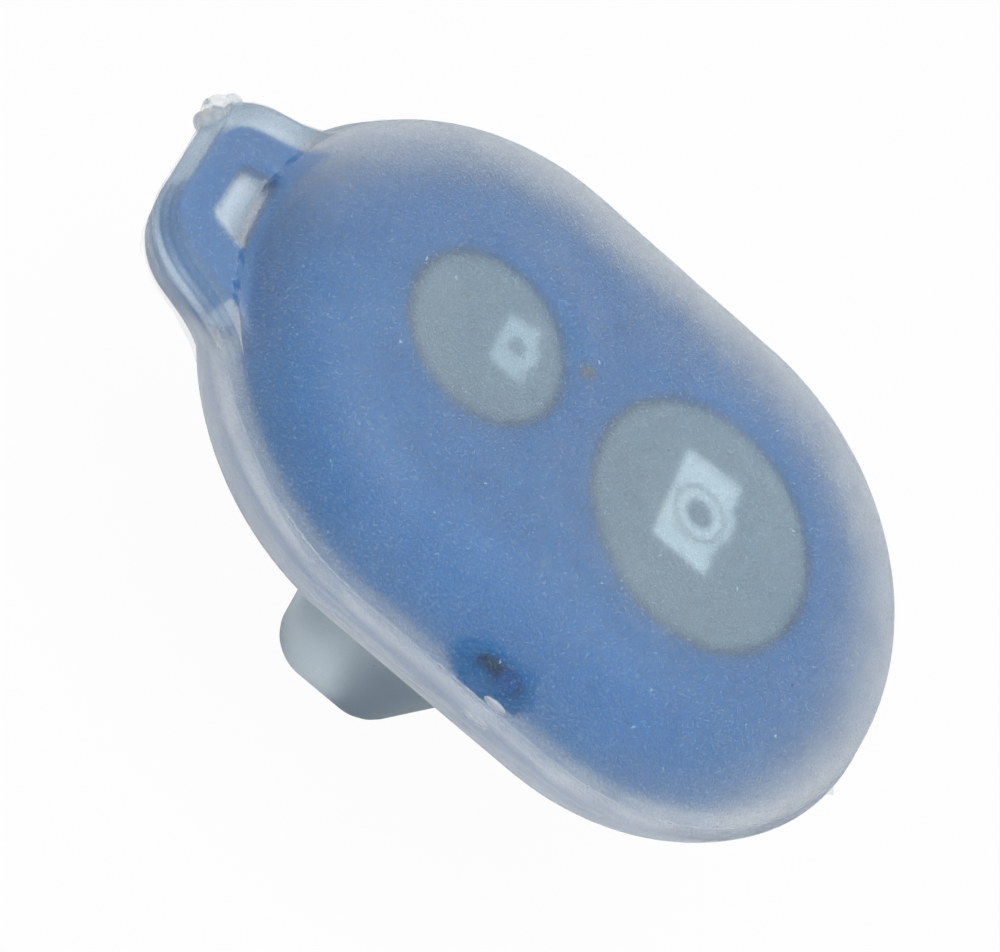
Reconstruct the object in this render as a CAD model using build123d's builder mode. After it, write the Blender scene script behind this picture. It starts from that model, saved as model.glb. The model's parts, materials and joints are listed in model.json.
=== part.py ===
"""Two-button wireless remote sealed in a frosted silicone skin that stands on a moulded block.

Millimetres. Origin at the centre of the block's flat end. +Z up, towards the buttons,
+X towards the large button, the cord loop at -X, the slide switch on the -Y side.
"""

import os

from build123d import *

os.makedirs("parts", exist_ok=True)

# Silicone skin: an oval dome over a shallower oval back, glued together at a seam
end_radius = 18.0  # plan radius of both round ends at the widest level
end_spacing = 14.16  # between the centres of the round ends
mid_height = 21.1  # widest level above the block's end
seam_rise = 0.88  # seam above the widest level
seam_inset = 0.45  # how far the wall leans in between the widest level and the seam
crown_rise = 6.65  # top of the dome above the widest level
crown_drop = 0.4  # fall of the crown between its middle and the shoulder
crown_flank = 7.0  # plan width of the flank outside the shoulder
back_depth = 6.8  # flat back below the widest level
back_flank = 8.0  # plan width of the flank outside the flat back
skin_side = 2.0
skin_top = 1.5
skin_back = 1.7
skin_gap = 0.1  # air between the skin and the case
seam_bead = 0.3  # height of the glue between the halves
bead_reach = 0.12  # how far the squeezed-out glue stands proud
lump_shares = [(178.0, 0.15), (161.0, 0.2), (143.0, 0.16)]  # angle and radius, of the loop's corner
ball_turn = 90.0  # lays the lumps' poles level, off the faces that cut them

# Block under the back, drafted on all sides
block_end_x = 8.45
block_end_y = 16.2
block_draft = 0.163  # growth of each half width per length, towards the back
block_corner = 2.8
block_end_round = 2.6

# Cord loop at the small end
loop_shift = -1.1  # off the middle line, towards the slide switch
loop_reach = 29.42  # outer end from the middle of the body
loop_tip_half = 6.56
loop_root_half = 9.72
loop_root_depth = 4.0  # how far the loop's plate runs into the case's round end
loop_corner = 4.95
loop_top_rise = 2.0  # top of the skin's loop above the widest level
loop_flank_inset = 0.9  # how far the loop's top lies inside its seam outline
loop_edge_round = 0.35  # edge of the loop's top
loop_depth = 2.0  # underside below the widest level
loop_under_inset = 0.9  # how far the underside lies inside the seam outline
loop_under_round = 1.5  # edge of the underside
loop_skin = 1.2  # skin round the tip of the case's own loop
loop_side_skin = 2.2  # skin along its sides
loop_case_corner = 2.6
loop_arm = 1.8  # width of the case's loop at its tip
loop_side_arm = 2.0
loop_plate_rise = 1.2
loop_plate_depth = 0.8
loop_hole_length = 3.1
loop_hole_corner = 0.8
loop_dent = 0.55  # how far the skin dips over the loop's hole

# Case, two plastic shells
case_wall = 1.2
case_roof = 1.5
case_floor = 1.1
case_crown_flank = 5.5  # plan width of the flank outside the shoulder
case_back_flank = 4.6  # plan width of the flank outside the flat back
case_rim_rise = 0.6  # foot of the case's top flank above the widest level
case_rim_drop = 0.3  # head of its bottom flank below that level
tongue = 0.55  # thickness and height of the rim that locates the shells
edge_bevel = 0.25  # on the rims of the button holes, at 45 degrees
fit_gap = 0.05

# Buttons, each in its own dish
small_x = -9.53
small_radius = 5.4
small_dish_radius = 8.1
small_dish_depth = 0.6
large_x = 7.5
large_radius = 7.9
large_dish_radius = 11.7
large_dish_depth = 0.8
cap_gap = 0.25  # round the cap
cap_clearance = 0.15  # between the cap and the skin above it
cap_thickness = 1.0
cap_wall = 0.9
cap_rib = 0.6
cap_round = 0.35
flange_reach = 0.4  # beyond the hole's wall
flange_clearance = 0.1
flange_thickness = 0.6
flange_roof = 1.6  # crown of the case above the flange's ceiling
pusher_radius = 1.2
press_gap = 0.05  # between the pusher and the switch's plunger

# Circuit board and what it carries
board_room = 1.1  # between the board's edge and the case's wall
board_drop = 4.6  # board's face below the crown of the case
board_thickness = 0.8
tact_side = 4.6
tact_corner = 0.4
tact_base_height = 1.2
tact_plate = 0.15
tact_well_radius = 1.6
tact_dome_room = 0.15  # left under the pressed plunger
tact_plunger_radius = 1.1
tact_plunger_rise = 0.5  # above the base
tact_head_radius = 1.45
tact_head_height = 0.35
press_travel = 0.3

# Slide switch on the -Y side
slide_x = 1.8
slot_margin = 0.15
slide_length = 6.8
slide_depth = 2.8
slide_height = 1.4
slide_sheet = 0.15
slide_edge_gap = 0.5  # from the board's edge
slide_window_margin = 0.1
slide_travel = 1.5
knob_width = 1.4
knob_height = 0.9
knob_recess = 0.4  # knob's tip inside the case's outline
knob_tail = 1.2
knob_round = 0.3
scoop_length = 5.4
scoop_depth = 0.9

# Light pipe beside the small button
led_angle = 24.0
pipe_radius = 0.5
pipe_collar = 0.2
pipe_collar_height = 0.5
pipe_gap = 0.15  # above the diode
led_length = 1.6
led_width = 0.8
led_height = 0.6

# Coin cell, which fills its bay at 20 mm by 3.2 mm, and its round door
cell_x = 1.0
cell_room = 1.8  # between the bay's wall and the case's wall
cell_play = 0.3  # between the cell and the board
cell_shoulder = 1.3  # between the can's side and the cap's
cell_cap_step = 0.3
cell_seal_width = 0.45
door_lip = 0.9  # door's edge outside the cell's
door_gap = 0.1
lug_count = 3
lug_reach = 1.0
lug_height = 0.65
lug_width = 3.0
lug_angle = 30.0
door_turn = 35.0
notch_margin = 0.3
coin_slot_length = 9.0
coin_slot_width = 1.5
coin_slot_depth = 0.6
bay_wall = 0.8
bay_gap = 0.2
bay_margin = 0.2  # round the turning lugs
rib_width = 1.2
rib_clearance = 0.15

# Contacts, screws and chips
contact_sheet = 0.2
contact_width = 3.0
contact_length = 7.0
contact_dimple_radius = 0.8
contact_leg = 2.2
contact_foot = 1.6
screw_radius = 0.7
screw_head_radius = 1.4
screw_head_height = 0.55
screw_length = 2.0
boss_wall = 0.9
boss_clearance = 0.1
drive_width = 0.35
drive_depth = 0.25
screw_shares = [(-0.7, 0.59), (0.8, -0.59)]  # of the board's half length and radius, as below
chip_side = 4.0
chip_height = 0.85
chip_share = (-0.05, 0.48)
memory_length = 3.0
memory_width = 2.0
memory_height = 0.75
memory_share = (0.27, 0.735)
crystal_length = 3.2
crystal_width = 2.5
crystal_height = 0.7
crystal_share = (-0.34, 0.675)
passive_length = 1.0
passive_width = 0.5
passive_height = 0.45
capacitor_shares = [(-0.165, 0.72), (-0.07, 0.75), (0.03, 0.75), (0.125, 0.705), (0.155, 0.575)]
resistor_shares = [(-0.22, 0.485), (-0.22, 0.36), (-0.105, -0.48), (-0.195, -0.48), (-0.28, -0.535)]
antenna_strip = 0.5
antenna_pitch = 1.3
antenna_span = 5.0
antenna_turns = 4
antenna_foil = 0.1
antenna_inset = 3.08  # its middle inside the board's end

# Levels and radii that follow from the above
seam_z = mid_height + seam_rise
crown_z = mid_height + crown_rise
back_z = mid_height - back_depth
seam_radius = end_radius - seam_inset
shoulder_radius = end_radius - crown_flank
back_flat_radius = end_radius - back_flank
case_radius = end_radius - skin_side - skin_gap
case_shoulder_radius = case_radius - case_crown_flank
case_back_flat_radius = case_radius - case_back_flank
case_top_z = crown_z - skin_top - skin_gap
case_bottom_z = back_z + skin_back + skin_gap
ceiling_z = case_top_z - case_roof
floor_z = case_bottom_z + case_floor
seat_z = case_top_z - flange_roof
inner_radius = case_radius - case_wall
inner_shoulder_radius = case_shoulder_radius - case_wall / 2
inner_flat_radius = case_back_flat_radius - case_wall / 2
loop_root_x = end_spacing / 2 + case_radius - loop_root_depth
loop_draft = (loop_root_half - loop_tip_half) / (loop_reach - loop_root_x)
board_radius = inner_radius - board_room
board_half_length = end_spacing / 2 + board_radius
board_top_z = case_top_z - board_drop
board_bottom_z = board_top_z - board_thickness
antenna_x = board_half_length - antenna_inset
tact_well_depth = fit_gap + tact_head_height + press_travel + tact_dome_room
plunger_top_z = board_top_z + tact_base_height + tact_plunger_rise
cell_radius = inner_radius - cell_room - bay_wall - bay_margin - lug_reach - door_lip
cell_cap_radius = cell_radius - cell_shoulder
cell_bottom_z = floor_z + fit_gap
cell_top_z = board_bottom_z - cell_play
cell_height = cell_top_z - cell_bottom_z
door_radius = cell_radius + door_lip
bay_radius = door_radius + lug_reach + bay_margin
led_distance = (
    small_radius + cap_gap + flange_reach + flange_clearance + pipe_radius + pipe_collar + fit_gap
)
slide_front_y = -board_radius + slide_edge_gap
slide_mid_z = board_top_z + slide_height / 2
knob_x = slide_x + slide_travel / 2
buttons = {
    "large": (large_x, large_radius, large_dish_radius, large_dish_depth),
    "small": (small_x, small_radius, small_dish_radius, small_dish_depth),
}
overrun = end_radius  # length of cuts that run out into the open


def oval_dome(radius, rim_z, shoulder, shoulder_z, top_z, base_z, lean=0.0):
    """Oval solid: one profile spun half round at each end and drawn straight between them."""
    half = end_spacing / 2
    with BuildPart() as dome:
        for side, turn in ((-half, 1), (half, -1)):
            with BuildSketch(Plane.YZ.offset(side)):
                with BuildLine():
                    dome_profile(radius, rim_z, shoulder, shoulder_z, top_z, base_z, lean)
                make_face()
            revolve(axis=Axis((side, 0, 0), (0, 0, turn)), revolution_arc=180)
        with BuildSketch(Plane.YZ.offset(-half)):
            with BuildLine():
                dome_profile(radius, rim_z, shoulder, shoulder_z, top_z, base_z, lean)
            make_face()
            mirror(about=Plane.YZ)
        extrude(amount=end_spacing)
    return dome.part


def dome_profile(radius, rim_z, shoulder, shoulder_z, top_z, base_z, lean):
    """Half profile: crown, flank arc tangent to it, wall from the rim to the base, leaning in."""
    if shoulder_z == top_z:
        crown = Line((0, top_z), (shoulder, shoulder_z))
    else:
        crown = TangentArc((0, top_z), (shoulder, shoulder_z), tangent=(1, 0))
    TangentArc(crown @ 1, (radius, rim_z), tangent=crown % 1)
    Polyline((radius, rim_z), (radius - lean, base_z), (0, base_z), (0, top_z))


def oval_slab(radius, low_z, high_z):
    """Straight-sided oval plate."""
    with BuildPart() as slab:
        with BuildSketch(Plane.XY.offset(low_z)):
            SlotCenterToCenter(end_spacing, radius * 2)
        extrude(amount=high_z - low_z)
    return slab.part


def loop_slab(
    reach, tip_half, root_half, corner, low_z, high_z, low_inset=0.0, high_inset=0.0, rounding=0.0,
):
    """Tapered plate of the cord loop, one of its faces drawn in, with that face's edge rounded."""
    with BuildPart() as slab:
        for z, shrink in ((low_z, low_inset), (high_z, high_inset)):
            with BuildSketch(Plane((0, loop_shift, z))) as outline:
                with BuildLine():
                    Polyline(
                        (-loop_root_x, root_half - shrink),
                        (-reach + shrink, tip_half - shrink),
                        (-reach + shrink, -tip_half + shrink),
                        (-loop_root_x, -root_half + shrink),
                        close=True,
                    )
                make_face()
                fillet(outline.vertices().group_by(Axis.X)[0], radius=corner - shrink)
        loft()
        if rounding:
            level = -1 if high_inset else 0
            fillet(slab.edges().group_by(Axis.Z)[level], radius=rounding)
    return slab.part


def arc_radius(half_chord, rise):
    """Radius of an arc from half its chord and its rise."""
    return (half_chord**2 + rise**2) / (2 * rise)


def dish_level(dish_radius, dish_depth, depth_below, distance):
    """Level of a dish at a distance from its middle, at any depth below the skin's surface."""
    ball_radius = arc_radius(dish_radius, dish_depth)
    centre_z = crown_z - dish_depth + ball_radius
    return centre_z - ((ball_radius + depth_below) ** 2 - distance**2) ** 0.5


def dish_ball(x, dish_radius, dish_depth, depth_below):
    """Ball that hollows a dish at one button, concentric at any depth below the skin's surface."""
    ball_radius = arc_radius(dish_radius, dish_depth)
    centre_z = crown_z - dish_depth + ball_radius
    with BuildPart() as ball:
        with Locations((x, 0, centre_z)):
            Sphere(ball_radius + depth_below)
    return ball.part


def case_envelope(gap):
    """Outside of the closed case, grown by a gap: domes, dishes and the pierced loop."""
    top_radius = case_radius + gap
    roof = case_top_z + gap
    bottom = case_bottom_z - gap
    dishes = [
        dish_ball(small_x, small_dish_radius, small_dish_depth, skin_top + skin_gap - gap),
        dish_ball(large_x, large_dish_radius, large_dish_depth, skin_top + skin_gap - gap),
    ]
    upper = oval_dome(
        top_radius, mid_height + case_rim_rise, case_shoulder_radius,
        roof - crown_drop, roof, mid_height,
    )
    lower = oval_dome(
        top_radius, mid_height - case_rim_drop, case_back_flat_radius,
        bottom, bottom, mid_height,
    )
    plate = loop_slab(
        loop_reach - loop_skin + gap, loop_tip_half - loop_side_skin + gap,
        loop_root_half - loop_side_skin + gap, loop_case_corner + gap,
        mid_height - loop_plate_depth - gap, mid_height + loop_plate_rise + gap,
    )
    hole = loop_hole(-gap, mid_height - loop_depth, mid_height + loop_top_rise)
    with BuildPart() as envelope:
        add(upper)
        add(lower)
        add(plate)
        add(hole, mode=Mode.SUBTRACT)
        add(dishes, mode=Mode.SUBTRACT)
    return envelope.part


def loop_hole(grow, low_z, high_z):
    """Tapered slot through the case's loop, grown on all sides."""
    tip = loop_reach - loop_skin - loop_arm
    root = tip - loop_hole_length
    tip_half = loop_tip_half - loop_side_skin - loop_side_arm
    root_half = tip_half + loop_hole_length * loop_draft
    with BuildPart() as hole:
        with BuildSketch(Plane((0, loop_shift, low_z))) as outline:
            with BuildLine():
                Polyline(
                    (-root + grow, root_half + grow),
                    (-tip - grow, tip_half + grow),
                    (-tip - grow, -tip_half - grow),
                    (-root + grow, -root_half - grow),
                    close=True,
                )
            make_face()
            fillet(outline.vertices(), radius=loop_hole_corner + grow)
        extrude(amount=high_z - low_z)
    return hole.part


def case_cavity():
    """Room inside the closed case."""
    upper = oval_dome(
        inner_radius, mid_height + case_rim_rise, inner_shoulder_radius,
        ceiling_z - crown_drop, ceiling_z, mid_height,
    )
    lower = oval_dome(
        inner_radius, mid_height - case_rim_drop, inner_flat_radius,
        floor_z, floor_z, mid_height,
    )
    with BuildPart() as cavity:
        add(upper)
        add(lower)
    return cavity.part


def switch_scoop():
    """Finger scoop in the case's side with the slot that the slide switch's knob moves in."""
    scoop_radius = arc_radius(scoop_length / 2, scoop_depth)
    slot_x = knob_width + slide_travel + 2 * slot_margin
    with BuildPart() as scoop:
        with Locations((slide_x, -case_radius - scoop_radius + scoop_depth, slide_mid_z)):
            Sphere(scoop_radius)
        with Locations((slide_x, -inner_radius, slide_mid_z)):
            Box(slot_x, case_wall * 2, knob_height + 2 * slot_margin)
    return scoop.part


def save(part, name):
    """Label a finished piece and write it under its own name."""
    part.label = name
    export_step(part, f"parts/{name}.step")


# Skin
def make_cover_front():
    """Front half of the skin: dome, dishes over the buttons, top of the loop."""
    dome = oval_dome(
        seam_radius, seam_z, shoulder_radius, crown_z - crown_drop, crown_z, mid_height,
    )
    loop = loop_slab(
        loop_reach, loop_tip_half, loop_root_half, loop_corner,
        seam_z, mid_height + loop_top_rise, 0.0, loop_flank_inset, loop_edge_round,
    )
    dent = loop_hole(0, mid_height + loop_top_rise - loop_dent, mid_height + crown_rise)
    dishes = [
        dish_ball(small_x, small_dish_radius, small_dish_depth, 0),
        dish_ball(large_x, large_dish_radius, large_dish_depth, 0),
    ]
    with BuildPart() as cover:
        add(loop)
        add(dent, mode=Mode.SUBTRACT)
        add(dome)
        add(dishes, mode=Mode.SUBTRACT)
        add(skin_room, mode=Mode.SUBTRACT)
        split(bisect_by=Plane.XY.offset(seam_z + seam_bead / 2), keep=Keep.TOP)
    return cover.part


def make_cover_back():
    """Back half of the skin with the solid block that it stands on."""
    dome = oval_dome(
        end_radius, mid_height, back_flat_radius, back_z, back_z, seam_z, seam_inset,
    )
    loop = loop_slab(
        loop_reach, loop_tip_half, loop_root_half, loop_corner,
        mid_height - loop_depth, seam_z, loop_under_inset, 0.0, loop_under_round,
    )
    with BuildPart() as cover:
        grow = block_draft * back_z * 2
        for z, wider in ((0, 0), (back_z, grow)):
            with BuildSketch(Plane.XY.offset(z)):
                RectangleRounded(block_end_x + wider, block_end_y + wider, block_corner)
        loft()
        fillet(cover.edges().group_by(Axis.Z)[0], radius=block_end_round)
        add(dome)
        add(loop)
        add(skin_room, mode=Mode.SUBTRACT)
        split(bisect_by=Plane.XY.offset(seam_z - seam_bead / 2), keep=Keep.BOTTOM)
    return cover.part


def make_seam_glue(covers):
    """Glue between the halves, squeezed out as a thin lip and a lump at the loop's corner."""
    low = seam_z - seam_bead / 2
    high = seam_z + seam_bead / 2
    rim = oval_slab(seam_radius + bead_reach, low, high)
    loop = loop_slab(
        loop_reach + bead_reach, loop_tip_half + bead_reach,
        loop_root_half + bead_reach, loop_corner + bead_reach, low, high,
    )
    corner_x = -loop_reach + loop_corner
    corner_y = loop_shift + loop_tip_half + (loop_draft - (1 + loop_draft**2) ** 0.5) * loop_corner
    with BuildPart() as glue:
        add(rim)
        add(loop)
        for angle, radius_share in lump_shares:
            out = Vector(loop_corner, 0).rotate(Axis.Z, angle)
            with Locations((corner_x + out.X, corner_y + out.Y, seam_z)):
                Sphere(loop_corner * radius_share, rotation=(ball_turn, 0, 0))
        add(covers, mode=Mode.SUBTRACT)
        add(skin_room, mode=Mode.SUBTRACT)
    return glue.part


# Case
def make_top_shell():
    """Upper half of the case: dished roof, button holes, seats for the flanges, board bosses."""
    with BuildPart() as shell:
        add(case_outside)
        add(case_room, mode=Mode.SUBTRACT)
        split(bisect_by=Plane.XY.offset(mid_height), keep=Keep.TOP)
        with BuildSketch(Plane.XY.offset(board_top_z)):
            with Locations(*on_board(screw_shares)):
                Circle(screw_radius + boss_wall)
        extrude(amount=case_top_z - board_top_z)
        add(case_outside, mode=Mode.INTERSECT)
        with BuildSketch(Plane.XY.offset(board_top_z)):
            with Locations(*on_board(screw_shares)):
                Circle(screw_radius + fit_gap)
        extrude(amount=screw_length, mode=Mode.SUBTRACT)
        for x, radius, dish_radius, dish_depth in buttons.values():
            hole_radius = radius + cap_gap
            rim_z = dish_level(dish_radius, dish_depth, skin_top + skin_gap, hole_radius)
            with BuildSketch(Plane.XY.offset(mid_height)):
                with Locations((x, 0)):
                    Circle(hole_radius)
            extrude(amount=overrun, mode=Mode.SUBTRACT)
            with Locations((x, 0, rim_z)):
                Cone(
                    hole_radius, hole_radius + 2 * edge_bevel, 2 * edge_bevel,
                    mode=Mode.SUBTRACT,
                )
            with BuildSketch(Plane.XY.offset(board_top_z)):
                with Locations((x, 0)):
                    Circle(hole_radius + flange_reach + flange_clearance)
            extrude(amount=seat_z - board_top_z, mode=Mode.SUBTRACT)
        with BuildSketch(Plane.XY.offset(mid_height)):
            with Locations(led_place):
                Circle(pipe_radius + fit_gap)
        extrude(amount=overrun, mode=Mode.SUBTRACT)
        add(groove, mode=Mode.SUBTRACT)
        add(scoop, mode=Mode.SUBTRACT)
    return shell.part


def make_bottom_shell():
    """Lower half of the case: battery bay with a round opening, notches for the door's lugs."""
    rim = oval_slab(inner_radius + tongue, mid_height, mid_height + tongue)
    core = oval_slab(inner_radius, mid_height, mid_height + tongue)
    with BuildPart() as shell:
        add(case_outside)
        add(case_room, mode=Mode.SUBTRACT)
        split(bisect_by=Plane.XY.offset(mid_height), keep=Keep.BOTTOM)
        with BuildSketch(Plane.XY.offset(floor_z)):
            with Locations((cell_x, 0)):
                Circle(bay_radius + bay_wall)
        extrude(amount=board_bottom_z - floor_z)
        with BuildSketch(Plane.XY.offset(floor_z)):
            with Locations((cell_x, 0)):
                Circle(bay_radius)
        extrude(amount=board_bottom_z - floor_z, mode=Mode.SUBTRACT)
        rib_low = floor_z + fit_gap + lug_height + rib_clearance
        with BuildSketch(Plane.XY.offset(rib_low)):
            with Locations((cell_x, 0)):
                with PolarLocations(bay_radius, lug_count):
                    Rectangle(bay_radius - cell_radius, rib_width)
                Circle(cell_radius + bay_gap, mode=Mode.SUBTRACT)
        extrude(amount=board_bottom_z - rib_low - rib_clearance)
        with BuildSketch(Plane.XY.offset(back_z)):
            with Locations((cell_x, 0)):
                Circle(door_radius + door_gap)
                lug_marks(door_turn, lug_width + 2 * notch_margin, lug_reach + notch_margin / 2)
        extrude(amount=floor_z - back_z, mode=Mode.SUBTRACT)
        add(rim)
        add(core, mode=Mode.SUBTRACT)
        add(scoop, mode=Mode.SUBTRACT)
    return shell.part


def lug_marks(turn, width, reach):
    """Rectangles on the circle of the door's lugs, for the sketch in hand."""
    with PolarLocations(door_radius, lug_count, start_angle=lug_angle + turn):
        Rectangle(2 * reach, width)


def make_battery_door():
    """Round door with a coin slot outside and bayonet lugs inside."""
    with BuildPart() as door:
        with BuildSketch(Plane.XY.offset(case_bottom_z)):
            with Locations((cell_x, 0)):
                Circle(door_radius)
        extrude(amount=case_floor)
        for low_z, outside in ((floor_z, door_radius), (floor_z + fit_gap, door_radius + lug_reach)):
            with BuildSketch(Plane.XY.offset(low_z)):
                with Locations((cell_x, 0)):
                    lug_marks(0, lug_width, lug_reach)
                    Circle(outside, mode=Mode.INTERSECT)
                    Circle(cell_radius + bay_gap, mode=Mode.SUBTRACT)
            extrude(amount=floor_z + lug_height - low_z)
        with BuildSketch(Plane.XY.offset(case_bottom_z)):
            with Locations((cell_x, 0)):
                SlotOverall(coin_slot_length, coin_slot_width)
        extrude(amount=coin_slot_depth, mode=Mode.SUBTRACT)
    return door.part


def make_button(kind):
    """Round cap, dished on top, with a retaining flange, ribs and the post that works its switch."""
    x, radius, dish_radius, dish_depth = buttons[kind]
    low_z = seat_z - fit_gap - flange_thickness
    top_z = crown_z - dish_depth - skin_top - cap_clearance
    hollow_z = top_z - cap_thickness
    with BuildPart() as cap:
        with BuildSketch(Plane.XY.offset(low_z)):
            with Locations((x, 0)):
                Circle(radius)
        extrude(amount=case_top_z - low_z)
        add(dish_ball(x, dish_radius, dish_depth, skin_top + cap_clearance), mode=Mode.SUBTRACT)
        fillet(cap.edges().filter_by(GeomType.CIRCLE).group_by(Axis.Z)[-1], radius=cap_round)
        with BuildSketch(Plane.XY.offset(low_z)):
            with Locations((x, 0)):
                Circle(radius + cap_gap + flange_reach)
        extrude(amount=flange_thickness)
        with BuildSketch(Plane.XY.offset(low_z)):
            with Locations((x, 0)):
                Circle(radius - cap_wall)
                Circle(pusher_radius, mode=Mode.SUBTRACT)
                Rectangle(2 * radius, cap_rib, mode=Mode.SUBTRACT)
                Rectangle(cap_rib, 2 * radius, mode=Mode.SUBTRACT)
        extrude(amount=hollow_z - low_z, mode=Mode.SUBTRACT)
        with BuildSketch(Plane.XY.offset(plunger_top_z + press_gap)):
            with Locations((x, 0)):
                Circle(pusher_radius)
        extrude(amount=hollow_z - plunger_top_z - press_gap)
    return cap.part


# Board and parts on it
def on_board(shares):
    """Places on the board, from shares of its half length and its radius."""
    return [(x * board_half_length, y * board_radius) for x, y in shares]


def make_circuit_board():
    """Oval board with the holes for its two screws."""
    with BuildPart() as board:
        with BuildSketch(Plane.XY.offset(board_bottom_z)):
            SlotCenterToCenter(end_spacing, 2 * board_radius)
            with Locations(*on_board(screw_shares)):
                Circle(screw_radius + fit_gap, mode=Mode.SUBTRACT)
        extrude(amount=board_thickness)
    return board.part


def make_tact_base(x):
    """Moulded base of a push switch, with the well that its plunger works in."""
    with BuildPart() as base:
        with BuildSketch(Plane.XY.offset(board_top_z)):
            with Locations((x, 0)):
                RectangleRounded(tact_side, tact_side, tact_corner)
        extrude(amount=tact_base_height)
        with BuildSketch(Plane.XY.offset(board_top_z + tact_base_height)):
            with Locations((x, 0)):
                Circle(tact_well_radius)
        extrude(amount=-tact_well_depth, mode=Mode.SUBTRACT)
    return base.part


def make_tact_plate(x):
    """Sheet cover of a push switch, holding the plunger's head down."""
    with BuildPart() as plate:
        with BuildSketch(Plane.XY.offset(board_top_z + tact_base_height)):
            with Locations((x, 0)):
                RectangleRounded(tact_side, tact_side, tact_corner)
                Circle(tact_plunger_radius + fit_gap, mode=Mode.SUBTRACT)
        extrude(amount=tact_plate)
    return plate.part


def make_tact_plunger(x):
    """Plunger with a wide head under the plate."""
    head_top_z = board_top_z + tact_base_height - fit_gap
    with BuildPart() as plunger:
        with BuildSketch(Plane.XY.offset(head_top_z - tact_head_height)):
            with Locations((x, 0)):
                Circle(tact_head_radius)
        extrude(amount=tact_head_height)
        with BuildSketch(Plane.XY.offset(head_top_z - tact_head_height)):
            with Locations((x, 0)):
                Circle(tact_plunger_radius)
        extrude(amount=plunger_top_z - head_top_z + tact_head_height)
    return plunger.part


def make_slide_base():
    """Body of the slide switch with the window that its knob moves in."""
    mid_y = slide_front_y + slide_depth / 2
    window = knob_width + slide_travel + 2 * slide_window_margin
    with BuildPart() as base:
        with Locations((slide_x, mid_y, board_top_z + (slide_height - slide_sheet) / 2)):
            Box(slide_length, slide_depth, slide_height - slide_sheet)
        with Locations((slide_x, slide_front_y, slide_mid_z)):
            Box(
                window, 2 * (knob_tail + slide_window_margin),
                knob_height + 2 * slide_window_margin, mode=Mode.SUBTRACT,
            )
    return base.part


def make_slide_cover():
    """Sheet lid of the slide switch."""
    mid_y = slide_front_y + slide_depth / 2
    with BuildPart() as cover:
        with Locations((slide_x, mid_y, board_top_z + slide_height - slide_sheet / 2)):
            Box(slide_length, slide_depth, slide_sheet)
    return cover.part


def make_slide_knob():
    """Knob of the slide switch, from its tail in the window to its tip in the scoop."""
    tail_y = slide_front_y + knob_tail
    tip_y = -case_radius + knob_recess
    with BuildPart() as knob:
        with Locations((knob_x, (tail_y + tip_y) / 2, slide_mid_z)):
            Box(knob_width, tail_y - tip_y, knob_height)
        fillet(knob.edges().filter_by(Axis.Z).group_by(Axis.Y)[0], radius=knob_round)
    return knob.part


def make_chip(x, y, length, width, height):
    """Small chip or component standing on the board."""
    with BuildPart() as chip:
        with Locations((x, y, board_top_z + height / 2)):
            Box(length, width, height)
    return chip.part


def make_passives(shares):
    """Group of like chip components."""
    with BuildPart() as group:
        for x, y in on_board(shares):
            with Locations((x, y, board_top_z + passive_height / 2)):
                Box(passive_length, passive_width, passive_height)
    return group.part


def make_antenna():
    """Meander of copper foil at the board's +X end."""
    first_x = antenna_x - antenna_pitch * antenna_turns / 2
    with BuildPart() as antenna:
        with BuildSketch(Plane.XY.offset(board_top_z)):
            for turn in range(antenna_turns + 1):
                bar_x = first_x + turn * antenna_pitch
                with Locations((bar_x, 0)):
                    Rectangle(antenna_strip, antenna_span)
                if turn < antenna_turns:
                    side = (antenna_span - antenna_strip) / 2 * (-1) ** turn
                    with Locations((bar_x + antenna_pitch / 2, side)):
                        Rectangle(antenna_pitch, antenna_strip)
        extrude(amount=antenna_foil)
    return antenna.part


def make_light_pipe():
    """Clear peg from the diode to the case's surface, with a collar under the roof."""
    low_z = board_top_z + led_height + pipe_gap
    with BuildPart() as pipe:
        with BuildSketch(Plane.XY.offset(low_z)):
            with Locations(led_place):
                Circle(pipe_radius)
        extrude(amount=overrun)
        add(case_outside, mode=Mode.INTERSECT)
        with BuildSketch(Plane.XY.offset(seat_z - pipe_collar_height)):
            with Locations(led_place):
                Circle(pipe_radius + pipe_collar)
        extrude(amount=pipe_collar_height)
    return pipe.part


# Cell and contacts
def make_cell_can():
    """Positive can of the coin cell."""
    with BuildPart() as can:
        with BuildSketch(Plane.XY.offset(cell_bottom_z)):
            with Locations((cell_x, 0)):
                Circle(cell_radius)
        extrude(amount=cell_height - cell_cap_step)
        with BuildSketch(Plane.XY.offset(cell_bottom_z + cell_cap_step)):
            with Locations((cell_x, 0)):
                Circle(cell_cap_radius + cell_seal_width)
        extrude(amount=cell_height, mode=Mode.SUBTRACT)
    return can.part


def make_cell_seal():
    """Insulating ring between the can and the cap."""
    with BuildPart() as seal:
        with BuildSketch(Plane.XY.offset(cell_bottom_z + cell_cap_step)):
            with Locations((cell_x, 0)):
                Circle(cell_cap_radius + cell_seal_width)
                Circle(cell_cap_radius, mode=Mode.SUBTRACT)
        extrude(amount=cell_height - 2 * cell_cap_step)
    return seal.part


def make_cell_cap():
    """Negative cap of the coin cell, standing a little above the can."""
    with BuildPart() as cap:
        with BuildSketch(Plane.XY.offset(cell_bottom_z + cell_cap_step)):
            with Locations((cell_x, 0)):
                Circle(cell_cap_radius)
        extrude(amount=cell_height - cell_cap_step)
    return cap.part


def make_negative_contact():
    """Leaf under the board with a dimple on the cell's cap."""
    with BuildPart() as contact:
        with Locations((cell_x, 0, board_bottom_z - contact_sheet / 2)):
            Box(contact_length, contact_width, contact_sheet)
        with BuildSketch(Plane.XY.offset(cell_top_z)):
            with Locations((cell_x, 0)):
                Circle(contact_dimple_radius)
        extrude(amount=board_bottom_z - contact_sheet - cell_top_z)
    return contact.part


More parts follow.
